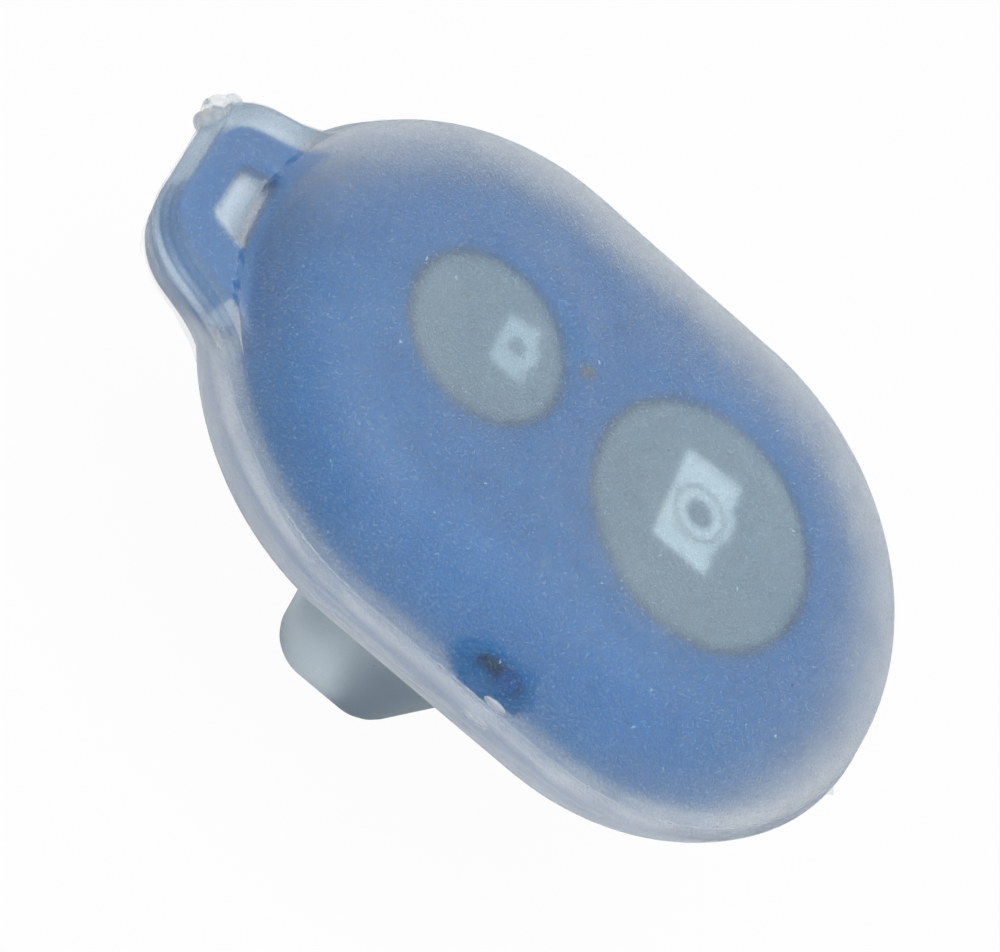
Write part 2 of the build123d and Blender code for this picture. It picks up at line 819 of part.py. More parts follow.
def make_positive_contact():
    """Angle under the board whose leg lies along the cell's side."""
    leg_x = cell_x - cell_radius - fit_gap - contact_sheet / 2
    with BuildPart() as contact:
        with Locations((leg_x, 0, board_bottom_z - contact_leg / 2)):
            Box(contact_sheet, contact_width, contact_leg)
        with Locations((leg_x - contact_foot / 2, 0, board_bottom_z - contact_sheet / 2)):
            Box(contact_foot + contact_sheet, contact_width, contact_sheet)
    return contact.part


def make_board_screws():
    """Two screws that hold the board up to the roof's bosses."""
    with BuildPart() as screws:
        for x, y in on_board(screw_shares):
            with BuildSketch(Plane.XY.offset(board_bottom_z - screw_head_height)):
                with Locations((x, y)):
                    Circle(screw_head_radius)
            extrude(amount=screw_head_height)
            with BuildSketch(Plane.XY.offset(board_bottom_z)):
                with Locations((x, y)):
                    Circle(screw_radius)
            extrude(amount=board_thickness + screw_length - boss_clearance)
            with BuildSketch(Plane.XY.offset(board_bottom_z - screw_head_height)):
                with Locations((x, y)):
                    Rectangle(screw_head_radius, drive_width)
                    Rectangle(drive_width, screw_head_radius)
            extrude(amount=drive_depth, mode=Mode.SUBTRACT)
    return screws.part


led_offset = Vector(led_distance, 0).rotate(Axis.Z, led_angle)
led_place = (small_x + led_offset.X, led_offset.Y)
case_outside = case_envelope(0)
skin_room = case_envelope(skin_gap)
case_room = case_cavity()
groove = oval_slab(inner_radius + tongue + fit_gap, mid_height, mid_height + tongue + fit_gap)
scoop = switch_scoop()

cover_front = make_cover_front()
cover_back = make_cover_back()
save(cover_front, "cover_front")
save(cover_back, "cover_back")
save(make_seam_glue([cover_front, cover_back]), "seam_glue")
save(make_top_shell(), "top_shell")
save(make_bottom_shell(), "bottom_shell")
save(make_battery_door(), "battery_door")
for kind, size in buttons.items():
    save(make_button(kind), f"{kind}_button")
    save(make_tact_base(size[0]), f"{kind}_switch_base")
    save(make_tact_plate(size[0]), f"{kind}_switch_plate")
    save(make_tact_plunger(size[0]), f"{kind}_switch_plunger")
save(make_circuit_board(), "circuit_board")
save(make_slide_base(), "slide_switch_base")
save(make_slide_cover(), "slide_switch_cover")
save(make_slide_knob(), "slide_switch_knob")
chips = {
    "radio_chip": (chip_share, chip_side, chip_side, chip_height),
    "memory_chip": (memory_share, memory_length, memory_width, memory_height),
    "crystal": (crystal_share, crystal_length, crystal_width, crystal_height),
}
for name, (share, *chip_size) in chips.items():
    save(make_chip(*on_board([share])[0], *chip_size), name)
save(make_chip(*led_place, led_length, led_width, led_height), "indicator_led")
save(make_passives(capacitor_shares), "capacitors")
save(make_passives(resistor_shares), "resistors")
save(make_antenna(), "antenna")
save(make_light_pipe(), "light_pipe")
save(make_cell_can(), "cell_can")
save(make_cell_seal(), "cell_seal")
save(make_cell_cap(), "cell_cap")
save(make_negative_contact(), "negative_contact")
save(make_positive_contact(), "positive_contact")
save(make_board_screws(), "board_screws")
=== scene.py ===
"""Looks of a two-button wireless remote that is sealed in a frosted silicone skin.

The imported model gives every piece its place. This script dresses the case, the caps and the board,
and makes the soft pieces again as fuller meshes: the skin with its block, the glue squeezed out of
its seam, and the pictograms printed on the caps. Sizes are in millimetres and become metres when a
mesh is made. +Z is up, the origin is the centre of the block's flat end.
"""

import json
import logging
import math
from dataclasses import dataclass, field, replace
from enum import Enum

import bmesh
import bpy
import numpy as np
from mathutils import Matrix, Vector


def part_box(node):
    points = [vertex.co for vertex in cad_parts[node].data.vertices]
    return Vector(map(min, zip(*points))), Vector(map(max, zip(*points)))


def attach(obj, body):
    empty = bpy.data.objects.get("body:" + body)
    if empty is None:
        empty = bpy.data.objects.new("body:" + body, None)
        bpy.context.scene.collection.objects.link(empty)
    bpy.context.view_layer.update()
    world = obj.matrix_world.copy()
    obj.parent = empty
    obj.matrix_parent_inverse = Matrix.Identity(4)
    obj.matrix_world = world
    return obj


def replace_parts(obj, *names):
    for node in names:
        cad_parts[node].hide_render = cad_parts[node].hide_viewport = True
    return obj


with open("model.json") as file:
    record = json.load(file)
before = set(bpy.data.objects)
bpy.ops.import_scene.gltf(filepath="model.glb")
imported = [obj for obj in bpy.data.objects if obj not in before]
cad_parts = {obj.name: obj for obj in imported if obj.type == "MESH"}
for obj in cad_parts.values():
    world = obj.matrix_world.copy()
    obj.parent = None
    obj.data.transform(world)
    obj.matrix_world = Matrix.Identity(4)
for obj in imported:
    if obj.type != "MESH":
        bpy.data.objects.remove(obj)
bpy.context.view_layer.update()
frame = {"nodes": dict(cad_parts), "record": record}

LOG = logging.getLogger("remote")
MM = 0.001
TURN = 2 * math.pi
TINY = 1e-9
WELD = 1e-6
WHITE = (1.0, 1.0, 1.0)

Array = np.ndarray
Colour = tuple[float, float, float]
Triple = tuple[float, float, float]
Node = bpy.types.Node
Socket = bpy.types.NodeSocket


class Slot(str, Enum):
    """Material slots of the record, given with each new piece."""

    SKIN = "silicone_skin"
    GLUE = "silicone_glue"
    CAP = "grey_cap"


class Body(str, Enum):
    """Bodies that the new pieces ride on."""

    REMOTE = "remote"
    LARGE = "large_button"
    SMALL = "small_button"


def smooth_max(first: Array, second: Array, width: float) -> Array:
    """Larger of two fields, with a quadratic blend where they differ by less than the width."""
    share = np.clip(0.5 + 0.5 * (first - second) / width, 0, 1)
    return second + (first - second) * share + width * share * (1 - share)


def smooth_min(first: Array, second: Array, width: float) -> Array:
    """Smaller of two fields, blended like smooth_max."""
    return -smooth_max(-first, -second, width)


def smooth_step(value: Array, low: float, high: float) -> Array:
    """0 below low, 1 above high, a cubic ramp between them."""
    share = np.clip((value - low) / (high - low), 0, 1)
    return share * share * (3 - 2 * share)


def stages(start: float, end: float, count: int) -> Array:
    """Even stages on the way to the end, which is the last of them; the start is left out."""
    return np.linspace(start, end, count + 1)[1:]


def arc_radius(half_chord: float, rise: float) -> float:
    """Radius of an arc from half its chord and its rise."""
    return (half_chord**2 + rise**2) / (2 * rise)


@dataclass(frozen=True)
class Stadium:
    """Round-ended outline: all points at one distance from a straight core line."""

    half: float = 7.08

    def reach(self, angle: Array, radius: float | Array) -> Array:
        """Distance from the middle to the outline along a direction.

        Where the ray meets a straight side it is radius / |sin|. Elsewhere it is the far root of the
        ray with the end circle, half |cos| + sqrt(radius^2 - (half sin)^2).

        Args:
            angle: directions in radians.
            radius: distance of the outline from the core line.

        Returns:
            One distance for each direction.
        """
        along, across = np.abs(np.cos(angle)), np.abs(np.sin(angle))
        side = radius / np.maximum(across, TINY)
        end = self.half * along + np.sqrt(np.maximum(radius**2 - (self.half * across) ** 2, 0))
        return np.where(side * along <= self.half, side, end)

    def distance(self, x: Array, y: Array) -> Array:
        """Distance of points from the core line."""
        return np.hypot(np.maximum(np.abs(x) - self.half, 0), y)


@dataclass(frozen=True)
class LoopPlan:
    """Tapered outline of the cord loop with two round corners, a little off the middle line."""

    tip: float = 29.42
    tip_half: float = 6.56
    root_half: float = 9.72
    corner: float = 4.95
    root: float = 18.98
    shift: float = -1.1
    facing: float = -0.3
    least_corner: float = 0.1
    depth_blend: float = 1.0

    @property
    def slope(self) -> float:
        """Growth of the half width per length, towards the root."""
        return (self.root_half - self.tip_half) / (self.tip - self.root)

    def shrunk(self, inset: float) -> "LoopPlan":
        """The same outline drawn in on all sides."""
        return replace(
            self, tip=self.tip - inset, tip_half=self.tip_half - inset,
            root_half=self.root_half - inset, corner=max(self.corner - inset, self.least_corner),
        )

    def reach(self, angle: Array) -> Array:
        """Distance from the body's middle to the outline, 0 in directions away from the loop.

        It is the least distance to the tip's line and the two side lines. Between the tangent points
        of a corner it is the far root of the ray with the corner's circle.
        """
        ex, ey = np.cos(angle), np.sin(angle)
        wide = self.tip_half + self.slope * self.tip
        slant = math.hypot(1, self.slope)
        reach = self.tip / np.maximum(-ex, TINY)
        reach = np.minimum(reach, (wide + self.shift) / np.maximum(ey - self.slope * ex, TINY))
        reach = np.minimum(reach, (wide - self.shift) / np.maximum(-ey - self.slope * ex, TINY))
        turn = np.mod(angle, TURN)
        for side in (1, -1):
            cx = -self.tip + self.corner
            cy = self.shift + side * (self.tip_half + self.corner * (self.slope - slant))
            ends = (
                math.atan2(cy, -self.tip),
                math.atan2(cy + side * self.corner / slant, cx - self.slope * self.corner / slant),
            )
            low, high = sorted(end % TURN for end in ends)
            along = cx * ex + cy * ey
            arc = along + np.sqrt(np.maximum(self.corner**2 - cx**2 - cy**2 + along**2, 0))
            reach = np.where((turn > low) & (turn < high), arc, reach)
        return np.where(ex < self.facing, reach, 0.0)

    def depth(self, x: Array, y: Array) -> Array:
        """Distance of points inside the nearest straight side, negative outside."""
        wide = self.tip_half + self.slope * self.tip
        sides = (wide + self.slope * x - np.abs(y - self.shift)) / math.hypot(1, self.slope)
        return smooth_min(self.tip + x, sides, self.depth_blend)


@dataclass(frozen=True)
class FlankArc:
    """Arc of a dome's profile from its shoulder to its rim, tangent to the crown at the shoulder."""

    shoulder: float
    shoulder_z: float
    rim: float
    rim_z: float
    slope: float = 0.0

    @property
    def circle(self) -> tuple[float, float, float]:
        """Centre and radius: with chord c and normal n the radius is c.c / (2 c.n)."""
        chord = np.array([self.rim - self.shoulder, self.rim_z - self.shoulder_z])
        towards = math.copysign(1, chord[1])
        normal = np.array([towards * math.sin(self.slope), towards * math.cos(self.slope)])
        radius = float(chord @ chord / (2 * chord @ normal))
        return self.shoulder + radius * normal[0], self.shoulder_z + radius * normal[1], radius

    def radius_at(self, z: float | Array) -> Array:
        """Plan radius of the flank at a level."""
        cx, cz, radius = self.circle
        return cx + np.sqrt(np.maximum(radius**2 - (z - cz) ** 2, 0))

    def level_at(self, rho: Array) -> Array:
        """Level of the flank at a plan radius, the shoulder's level inside it."""
        cx, cz, radius = self.circle
        out = np.clip(rho - cx, self.shoulder - cx, radius)
        return cz + math.copysign(1, self.shoulder_z - cz) * np.sqrt(radius**2 - out**2)


def rounded_box_reach(angle: Array, half_x: Array, half_y: Array, corner: Array) -> Array:
    """Distance from the middle to a rounded rectangle.

    It is the least of half_x / |cos| and half_y / |sin|, and the far root of the ray with the corner's
    circle where that point lies beyond both straight sides.
    """
    ex, ey = np.maximum(np.abs(np.cos(angle)), TINY), np.maximum(np.abs(np.sin(angle)), TINY)
    flat = np.minimum(half_x / ex, half_y / ey)
    cx, cy = half_x - corner, half_y - corner
    along = cx * ex + cy * ey
    arc = along + np.sqrt(np.maximum(corner**2 - cx**2 - cy**2 + along**2, 0))
    return np.where((flat * ex > cx) & (flat * ey > cy), arc, flat)


class Piece:
    """Gathers bands of rings and makes one mesh object of them."""

    def __init__(self, name: str) -> None:
        """Start empty."""
        self.name = name
        self.points: list[Array] = []
        self.faces: list[Array] = []
        self.finishes: list[Array] = []
        self.count = 0

    def rings(
        self, rings: Array, inward: bool = False, skip: Array | None = None, finish: int | Array = 0,
    ) -> None:
        """Add a band of closed rings.

        Args:
            rings: points of shape (rings, steps, 3), each ring anticlockwise, from the top down.
            inward: turn the faces round, for the wall of a hollow.
            skip: mask of shape (rings - 1, steps) of faces to leave out.
            finish: number of the band's material, or one number for each face.
        """
        rows, steps = rings.shape[:2]
        index = self.count + np.arange(rows * steps).reshape(rows, steps)
        beside = np.roll(index, -1, axis=1)
        faces = np.stack([index[:-1], index[1:], beside[1:], beside[:-1]], axis=-1)
        finish = np.broadcast_to(finish, faces.shape[:2])
        if inward:
            faces = faces[..., ::-1]
        if skip is not None:
            faces, finish = faces[~skip], finish[~skip]
        self.points.append(rings.reshape(-1, 3))
        self.faces.append(faces.reshape(-1, 4))
        self.finishes.append(finish.reshape(-1))
        self.count += rows * steps

    def build(self, materials: list[bpy.types.Material], slot: Slot, body: Body) -> bpy.types.Object:
        """Make the object: weld points that coincide, which closes poles and seams, and shade smooth.

        Args:
            materials: its finishes, by number.
            slot: the record's slot that the finishes stand for; not used.
            body: the body that it rides on.

        Returns:
            The object, at the origin.
        """
        mesh = bpy.data.meshes.new(self.name)
        points = np.concatenate(self.points) * MM
        mesh.from_pydata(points.tolist(), [], np.concatenate(self.faces).tolist())
        for material in materials:
            mesh.materials.append(material)
        mesh.polygons.foreach_set("material_index", np.concatenate(self.finishes))
        tool = bmesh.new()
        tool.from_mesh(mesh)
        bmesh.ops.remove_doubles(tool, verts=tool.verts, dist=WELD)
        bmesh.ops.dissolve_degenerate(tool, edges=tool.edges, dist=WELD / 10)
        tool.to_mesh(mesh)
        tool.free()
        mesh.polygons.foreach_set("use_smooth", np.ones(len(mesh.polygons), dtype=bool))
        made = bpy.data.objects.new(self.name, mesh)
        bpy.context.scene.collection.objects.link(made)
        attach(made, body.value)
        LOG.info("%s: %d points, %d faces", self.name, len(mesh.vertices), len(mesh.polygons))
        return made


@dataclass(frozen=True)
class Dish:
    """Round hollow over one button."""

    x: float
    radius: float
    depth: float

    def level(self, x: Array, y: Array, crown: float, below: float = 0.0) -> Array:
        """Level of the hollow: a ball of the dish's radius, concentric at any depth below the skin."""
        ball = arc_radius(self.radius, self.depth)
        away = np.hypot(x - self.x, y)
        return crown - self.depth + ball - np.sqrt(np.maximum((ball + below) ** 2 - away**2, 0))

    def ridge(self, x: Array, y: Array, width: float) -> Array:
        """Bell-shaped ring of height 1 along the dish's rim."""
        away = np.hypot(x - self.x, y)
        return np.exp(-(((away - self.radius) / width) ** 2))


LARGE_DISH = Dish(x=7.5, radius=11.7, depth=0.8)
SMALL_DISH = Dish(x=-9.53, radius=8.1, depth=0.6)
DISHES = (LARGE_DISH, SMALL_DISH)


@dataclass(frozen=True)
class Rows:
    """Numbers of rings in the bands of the skin and of its hollow."""

    crown: int = 30
    flank: int = 18
    loop_top: int = 12
    loop_flank: int = 18
    wall: int = 4
    foot: int = 3
    loop_edge: int = 8
    loop_under: int = 5
    back_flank: int = 15
    back_flat: int = 4
    fillet: int = 5
    block_side: int = 10
    block_edge: int = 7
    block_end: int = 4
    case_crown: int = 16
    case_flank: int = 12
    case_edge: int = 8
    case_plate: int = 3
    case_back: int = 12
    case_flat: int = 8


@dataclass
class Skin:
    """The two silicone halves as one closed body, with the hollow that the case lies in.

    Levels are measured from the widest level, upwards. Every surface is a stack of closed rings about
    the body's middle, because each outline, round-ended, looped or boxed, is a function of the
    direction. At each level the outline is the larger of the dome's and the loop's.
    """

    plan: Stadium = field(default_factory=Stadium)
    loop: LoopPlan = field(default_factory=LoopPlan)
    rows: Rows = field(default_factory=Rows)
    # directions round the body
    steps: int = 432
    fine_steps: int = 3601
    dense_facing: tuple[float, float] = (0.75, 0.85)
    # dome, seam and back
    widest: float = 18.0
    seam_z: float = 0.88
    seam_inset: float = 0.45
    crown: float = 6.65
    crown_drop: float = 0.4
    shoulder: float = 11.0
    flank_spacing: float = 1.4
    back: float = -6.8
    back_flat: float = 10.0
    # relief of the dome: dishes, the ridges round them and slow waves
    dish_blend: float = 0.15
    ridge_height: float = 0.09
    ridge_width: float = 1.3
    wave: float = 0.03
    swells: tuple[tuple[float, Triple, Triple], ...] = (
        (1.0, (0.9, 0.4, 1.0), (0.5, -1.1, 2.0)), (0.5, (1.7, -0.8, 0.0), (0.6, 1.9, 0.5)),
    )
    # thickness over the case and the gap to it
    side_skin: float = 2.0
    top_skin: float = 1.5
    back_skin: float = 1.7
    air: float = 0.1
    # cord loop
    loop_top: float = 2.0
    loop_bottom: float = -2.0
    loop_inset: float = 0.9
    loop_under_inset: float = 0.9
    loop_round: float = 1.5
    loop_steps: int = 3
    loop_step_depth: float = 0.45
    loop_blend: float = 1.6
    # the loop's hole, which the skin closes
    hole_tip: float = 26.42
    hole_tip_half: float = 2.36
    hole_root: float = 23.32
    hole_corner: float = 0.8
    hole_dent: float = 0.55
    hole_weld: float = 0.2
    hole_least: float = 0.1
    dent_edge: tuple[float, float] = (-0.3, 0.6)
    # hollow for the case
    case_loop_skin: float = 1.2
    case_loop_side_skin: float = 2.2
    case_loop_corner: float = 2.6
    case_loop_top: float = 1.2
    case_loop_bottom: float = -0.8
    case_shoulder: float = 10.4
    case_rim: float = 0.6
    case_back_rim: float = -0.3
    case_back_flat: float = 11.3
    case_spacing: float = 1.5
    case_dish_blend: float = 0.05
    # block
    block_end_x: float = 4.225
    block_end_y: float = 8.1
    block_draft: float = 0.163
    block_corner: float = 2.8
    block_least_corner: float = 0.15
    block_round: float = 2.6
    block_fillet: float = 0.7
    # borders of the milkier finish with painted light and of the wet finish
    milky_lit_start: float = 0.6
    milky_lit_overlap: float = 0.3
    margin: float = 0.02
    wet_x: float = -20.0
    wet_y: float = -2.5
    wet_margin: float = 0.4
    wet_switch: tuple[float, float, float, float] = (1.4, 1.0, 3.0, 1.5)
    # dust on the front
    bloom_out: float = 0.03
    bloom_in: float = 0.008

    def __post_init__(self) -> None:
        """Read the widest level off the case's split and lay out the directions."""
        self.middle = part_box("top_shell")[0][2] / MM
        crown_ball = arc_radius(self.shoulder, self.crown_drop)
        slope = math.asin(self.shoulder / crown_ball)
        self.flank = FlankArc(
            self.shoulder, self.crown - self.crown_drop, self.widest - self.seam_inset, self.seam_z, slope,
        )
        self.back_arc = FlankArc(self.back_flat, self.back, self.widest, 0.0)
        self.angle = self.directions()
        self.ex, self.ey = np.cos(self.angle), np.sin(self.angle)
        self.lift = np.array([0, 0, self.middle])

    def directions(self) -> Array:
        """Directions about the middle, three times as dense towards the loop.

        They are the inverse of the density's running sum, at even shares of its total.
        """
        fine = np.linspace(0, TURN, self.fine_steps)
        density = 1 + 2 * smooth_step(-np.cos(fine), *self.dense_facing)
        total = np.concatenate([[0], np.cumsum((density[1:] + density[:-1]) / 2)])
        return np.interp(np.linspace(0, total[-1], self.steps, endpoint=False), total, fine)

    def ring(self, reach: Array, z: float | Array) -> Array:
        """Points at a distance in each direction, at a level."""
        level = np.broadcast_to(z, reach.shape)
        return np.stack([reach * self.ex, reach * self.ey, level], axis=-1)

    def oval(self, radius: float | Array) -> Array:
        """Reach of the body's round-ended outline in each direction."""
        return self.plan.reach(self.angle, radius)

    def crown_level(self, x: Array, y: Array) -> Array:
        """Level of the plain crown: it falls with the square of the distance from the core line."""
        rho = self.plan.distance(x, y)
        return self.crown - self.crown_drop * (rho / self.shoulder) ** 2

    def relief(self, points: Array) -> Array:
        """Press the dishes into the dome, raise their rims and let the surface wave a little."""
        x, y, z = points[..., 0], points[..., 1], points[..., 2]
        for dish in DISHES:
            z = smooth_min(z, dish.level(x, y, self.crown), self.dish_blend)
        high = smooth_step(z, self.loop_top, self.crown - self.crown_drop)
        rims = np.maximum(*(dish.ridge(x, y, self.ridge_width) for dish in DISHES))
        waves = sum(
            height * np.sin(a * x + b * y + c) * np.sin(d * x + e * y + f)
            for height, (a, b, c), (d, e, f) in self.swells
        )
        z = z + high * (self.ridge_height * rims + self.wave * waves)
        return np.stack([x, y, z], axis=-1)

    def dome(self) -> Array:
        """Outer rings from the crown's middle to the loop's top level."""
        outline = self.oval(self.shoulder)
        crown = [self.ring(outline * share, 0.0) for share in np.linspace(0, 1, self.rows.crown + 1)]
        for ring in crown:
            ring[..., 2] = self.crown_level(ring[..., 0], ring[..., 1])
        top = self.crown - self.crown_drop
        down = np.sin(stages(0, 1, self.rows.flank) * math.pi / 2) ** self.flank_spacing
        levels = top - (top - self.loop_top) * down
        flank = [self.ring(self.oval(self.flank.radius_at(z)), z) for z in levels]
        return self.relief(np.stack(crown + flank))

    def loop_upper(self) -> Array:
        """Outer rings over the loop: its flat top, dished over the hole, and its stepped flank."""
        dome = self.oval(self.flank.radius_at(self.loop_top))
        top = self.outline(self.flank.radius_at(self.loop_top), self.loop_inset)
        rings = []
        for share in stages(0, 1, self.rows.loop_top):
            ring = self.ring(dome + (top - dome) * share, self.loop_top)
            depth = self.hole_depth(ring[..., 0], ring[..., 1])
            ring[..., 2] -= self.hole_dent * smooth_step(depth, *self.dent_edge)
            rings.append(ring)
        for share in stages(1, 0, self.rows.loop_flank):
            wave = math.sin(TURN * self.loop_steps * share) / (TURN * self.loop_steps)
            inset = self.loop_inset * (share - self.loop_step_depth * wave)
            z = self.seam_z + (self.loop_top - self.seam_z) * share
            rings.append(self.ring(self.outline(self.flank.radius_at(z), inset), z))
        return np.stack(rings)

    def outline(self, radius: float, inset: float) -> Array:
        """Larger of the dome's and the loop's outline in each direction, blended at the neck."""
        return smooth_max(
            self.oval(radius), self.loop.shrunk(inset).reach(self.angle), self.loop_blend,
        )

    def hole_depth(self, x: Array, y: Array) -> Array:
        """Distance of points inside the loop's hole, negative outside it."""
        return np.minimum(self.hole_plan().depth(x, y), -x - self.hole_root)

    def hole_plan(self) -> LoopPlan:
        """Tip and sides of the hole as a small loop outline."""
        run = self.hole_tip - self.loop.root
        return replace(
            self.loop, tip=self.hole_tip, tip_half=self.hole_tip_half,
            root_half=self.hole_tip_half + run * self.loop.slope, corner=self.hole_corner,
        )

    def lower(self) -> Array:
        """Outer rings below the seam: leaning wall, loop's underside, back, block and its end."""
        slope = self.loop_under_inset / (self.seam_z - self.loop_bottom)
        lean = math.atan(slope)
        centre_z = self.loop_bottom + self.loop_round
        centre_inset = slope * (self.seam_z - centre_z) + self.loop_round / math.cos(lean)
        foot_z = centre_z - self.loop_round * math.sin(lean)
        levels = [(z, slope * (self.seam_z - z)) for z in stages(self.seam_z, 0, self.rows.wall)]
        levels += [(z, slope * (self.seam_z - z)) for z in stages(0, foot_z, self.rows.foot)]
        for turn in stages(lean, math.pi / 2, self.rows.loop_edge):
            z = centre_z - self.loop_round * math.sin(turn)
            levels.append((z, centre_inset - self.loop_round * math.cos(turn)))
        rings = [self.ring(self.outline(self.wall_radius(z), inset), z) for z, inset in levels]
        under = self.outline(self.wall_radius(self.loop_bottom), centre_inset)
        dome = self.oval(self.back_arc.radius_at(self.loop_bottom))
        for share in stages(0, 1, self.rows.loop_under):
            rings.append(self.ring(under + (dome - under) * share, self.loop_bottom))
        return np.stack(rings + self.back_rings() + self.block_rings())

    def wall_radius(self, z: float) -> float:
        """Plan radius of the body below the seam.

        The wall leans out down to the widest level and follows the back's arc from there.
        """
        if z > 0:
            return self.widest - self.seam_inset * z / self.seam_z
        return float(self.back_arc.radius_at(z))

    def back_level(self, reach: Array) -> Array:
        """Level of the back at a distance from the middle: its arc, flat inside the arc's foot."""
        rho = self.plan.distance(reach * self.ex, reach * self.ey)
        return self.back_arc.level_at(rho)

    def block_reach(self, height: float, inset: float = 0.0) -> Array:
        """The block's outline at a height above its end, drafted outwards, drawn in by an inset."""
        grow = self.block_draft * height - inset
        corner = max(self.block_corner - inset, self.block_least_corner)
        return rounded_box_reach(self.angle, self.block_end_x + grow, self.block_end_y + grow, corner)

    def back_rings(self) -> list[Array]:
        """Rings over the back's flank and flat, ending at the fillet round the block."""
        depth = self.middle + self.back
        root = self.block_reach(depth, -self.block_fillet)
        rings = []
        for turn in stages(0, math.pi / 2, self.rows.back_flank):
            z = self.loop_bottom + (self.back - self.loop_bottom) * math.sin(turn)
            reach = np.maximum(self.oval(self.back_arc.radius_at(z)), root)
            rings.append(self.ring(reach, self.back_level(reach)))
        flat = np.hypot(rings[-1][..., 0], rings[-1][..., 1])
        for share in stages(0, 1, self.rows.back_flat):
            reach = flat + (root - flat) * share
            rings.append(self.ring(reach, self.back_level(reach)))
        return rings

    def block_rings(self) -> list[Array]:
        """Rings down the block: hollow fillet, drafted side, round edge and flat end."""
        depth = self.middle + self.back
        rings = []
        for turn in stages(0, math.pi / 2, self.rows.fillet):
            drop = self.block_fillet * (1 - math.cos(turn))
            out = self.block_fillet * (1 - math.sin(turn))
            rings.append(self.ring(self.block_reach(depth - drop, -out), self.back - drop))
        for height in stages(depth - self.block_fillet, self.block_round, self.rows.block_side):
            rings.append(self.ring(self.block_reach(height), height - self.middle))
        for turn in stages(0, math.pi / 2, self.rows.block_edge):
            height = self.block_round * (1 - math.sin(turn))
            inset = self.block_round * (1 - math.cos(turn))
            rings.append(self.ring(self.block_reach(height, inset), height - self.middle))
        last = np.hypot(rings[-1][..., 0], rings[-1][..., 1])
        for share in stages(1, 0, self.rows.block_end):
            rings.append(self.ring(last * share, -self.middle))
        return rings

    def case_arcs(self) -> tuple[FlankArc, FlankArc]:
        """Flanks of the hollow, above the case's rim and below it."""
        radius = self.widest - self.side_skin
        slope = math.asin(self.case_shoulder / arc_radius(self.case_shoulder, self.crown_drop))
        top = self.crown - self.top_skin - self.crown_drop
        floor = self.back + self.back_skin
        return (
            FlankArc(self.case_shoulder, top, radius, self.case_rim, slope),
            FlankArc(self.case_back_flat, floor, radius, self.case_back_rim),
        )

    def case_plate(self) -> Array:
        """Reach of the hollow's loop in each direction."""
        return replace(
            self.loop, tip=self.loop.tip - self.case_loop_skin + self.air,
            tip_half=self.loop.tip_half - self.case_loop_side_skin + self.air,
            root_half=self.loop.root_half - self.case_loop_side_skin + self.air,
            corner=self.case_loop_corner,
        ).reach(self.angle)

    def hollow_roof(self, upper: FlankArc, top: float) -> list[Array]:
        """Rings over the case's crown and down its flank to a level, pressed in by the dishes."""
        rings = []
        for share in np.linspace(0, 1, self.rows.case_crown + 1):
            ring = self.ring(self.oval(self.case_shoulder) * share, 0.0)
            rho = self.plan.distance(ring[..., 0], ring[..., 1])
            drop = self.crown_drop * (rho / self.case_shoulder) ** 2
            ring[..., 2] = self.crown - self.top_skin - drop
            rings.append(ring)
        rim = upper.shoulder_z
        for z in rim - (rim - top) * stages(0, 1, self.rows.case_flank) ** self.case_spacing:
            rings.append(self.ring(self.oval(upper.radius_at(z)), z))
        for dish in DISHES:
            for ring in rings:
                level = dish.level(ring[..., 0], ring[..., 1], self.crown, self.top_skin)
                ring[..., 2] = smooth_min(ring[..., 2], level, self.case_dish_blend)
        return rings

    def hollow_floor(self, lower: FlankArc, bottom: float) -> list[Array]:
        """Rings from a level down the case's back flank and over its flat back."""
        floor = lower.shoulder_z
        rings = []
        for share in stages(0, 1, self.rows.case_back):
            z = bottom + (floor - bottom) * math.sin(share * math.pi / 2)
            rings.append(self.ring(self.oval(lower.radius_at(z)), z))
        for share in stages(1, 0, self.rows.case_flat):
            rings.append(self.ring(self.oval(self.case_back_flat) * share, floor))
        return rings

    def hollow(self) -> tuple[Array, Array]:
        """Lay out the hollow that the case lies in.

        Returns:
            Its rings from the roof to the floor, and the faces that are left out at the loop's hole.
        """
        upper, lower = self.case_arcs()
        plate = self.case_plate()
        top, bottom = self.case_loop_top + self.air, self.case_loop_bottom - self.air
        rings = self.hollow_roof(upper, top)
        first, _ = self.pierced(upper.radius_at(top), plate, top)
        start = len(rings)
        rings += first
        for z in stages(top, bottom, self.rows.case_edge)[:-1]:
            arc, level = (upper, z) if z > self.case_rim else (lower, min(z, self.case_back_rim))
            rings.append(self.ring(np.maximum(self.oval(arc.radius_at(level)), plate), z))
        second, open_hole = self.pierced(lower.radius_at(bottom), plate, bottom)
        last = len(rings)
        rings += second[::-1] + self.hollow_floor(lower, bottom)
        # The third and fourth ring of each stack meet at the weld: the band between them is the hole.
        skip = np.zeros((len(rings) - 1, self.steps), dtype=bool)
        both = open_hole & np.roll(open_hole, -1)
        skip[start + 2] = both
        skip[last + len(second) - 4] = both
        return np.stack(rings), skip

    def pierced(self, radius: float, plate: Array, z: float) -> tuple[list[Array], Array]:
        """Flat rings from the dome out to the loop's edge, drawn together at the weld in the hole.

        Args:
            radius: the dome's plan radius at this level.
            plate: reach of the case's loop in each direction.
            z: level of the flat.

        Returns:
            The rings, and the directions in which the hole is open.
        """
        dome = self.oval(radius)
        outer = np.maximum(plate, dome)
        far = np.clip(self.hole_plan().shrunk(self.air).reach(self.angle), dome, outer)
        near = np.clip((self.hole_root + self.air) / np.maximum(-self.ex, TINY), dome, far)
        open_hole = far - near > self.hole_least
        weld = np.where(open_hole, self.hole_weld, z)
        rings = [self.ring(dome, z), self.ring(near, z), self.ring(near, weld), self.ring(far, weld)]
        for share in np.linspace(0, 1, self.rows.case_plate + 1):
            rings.append(self.ring(far + (outer - far) * share, z))
        return rings, open_hole

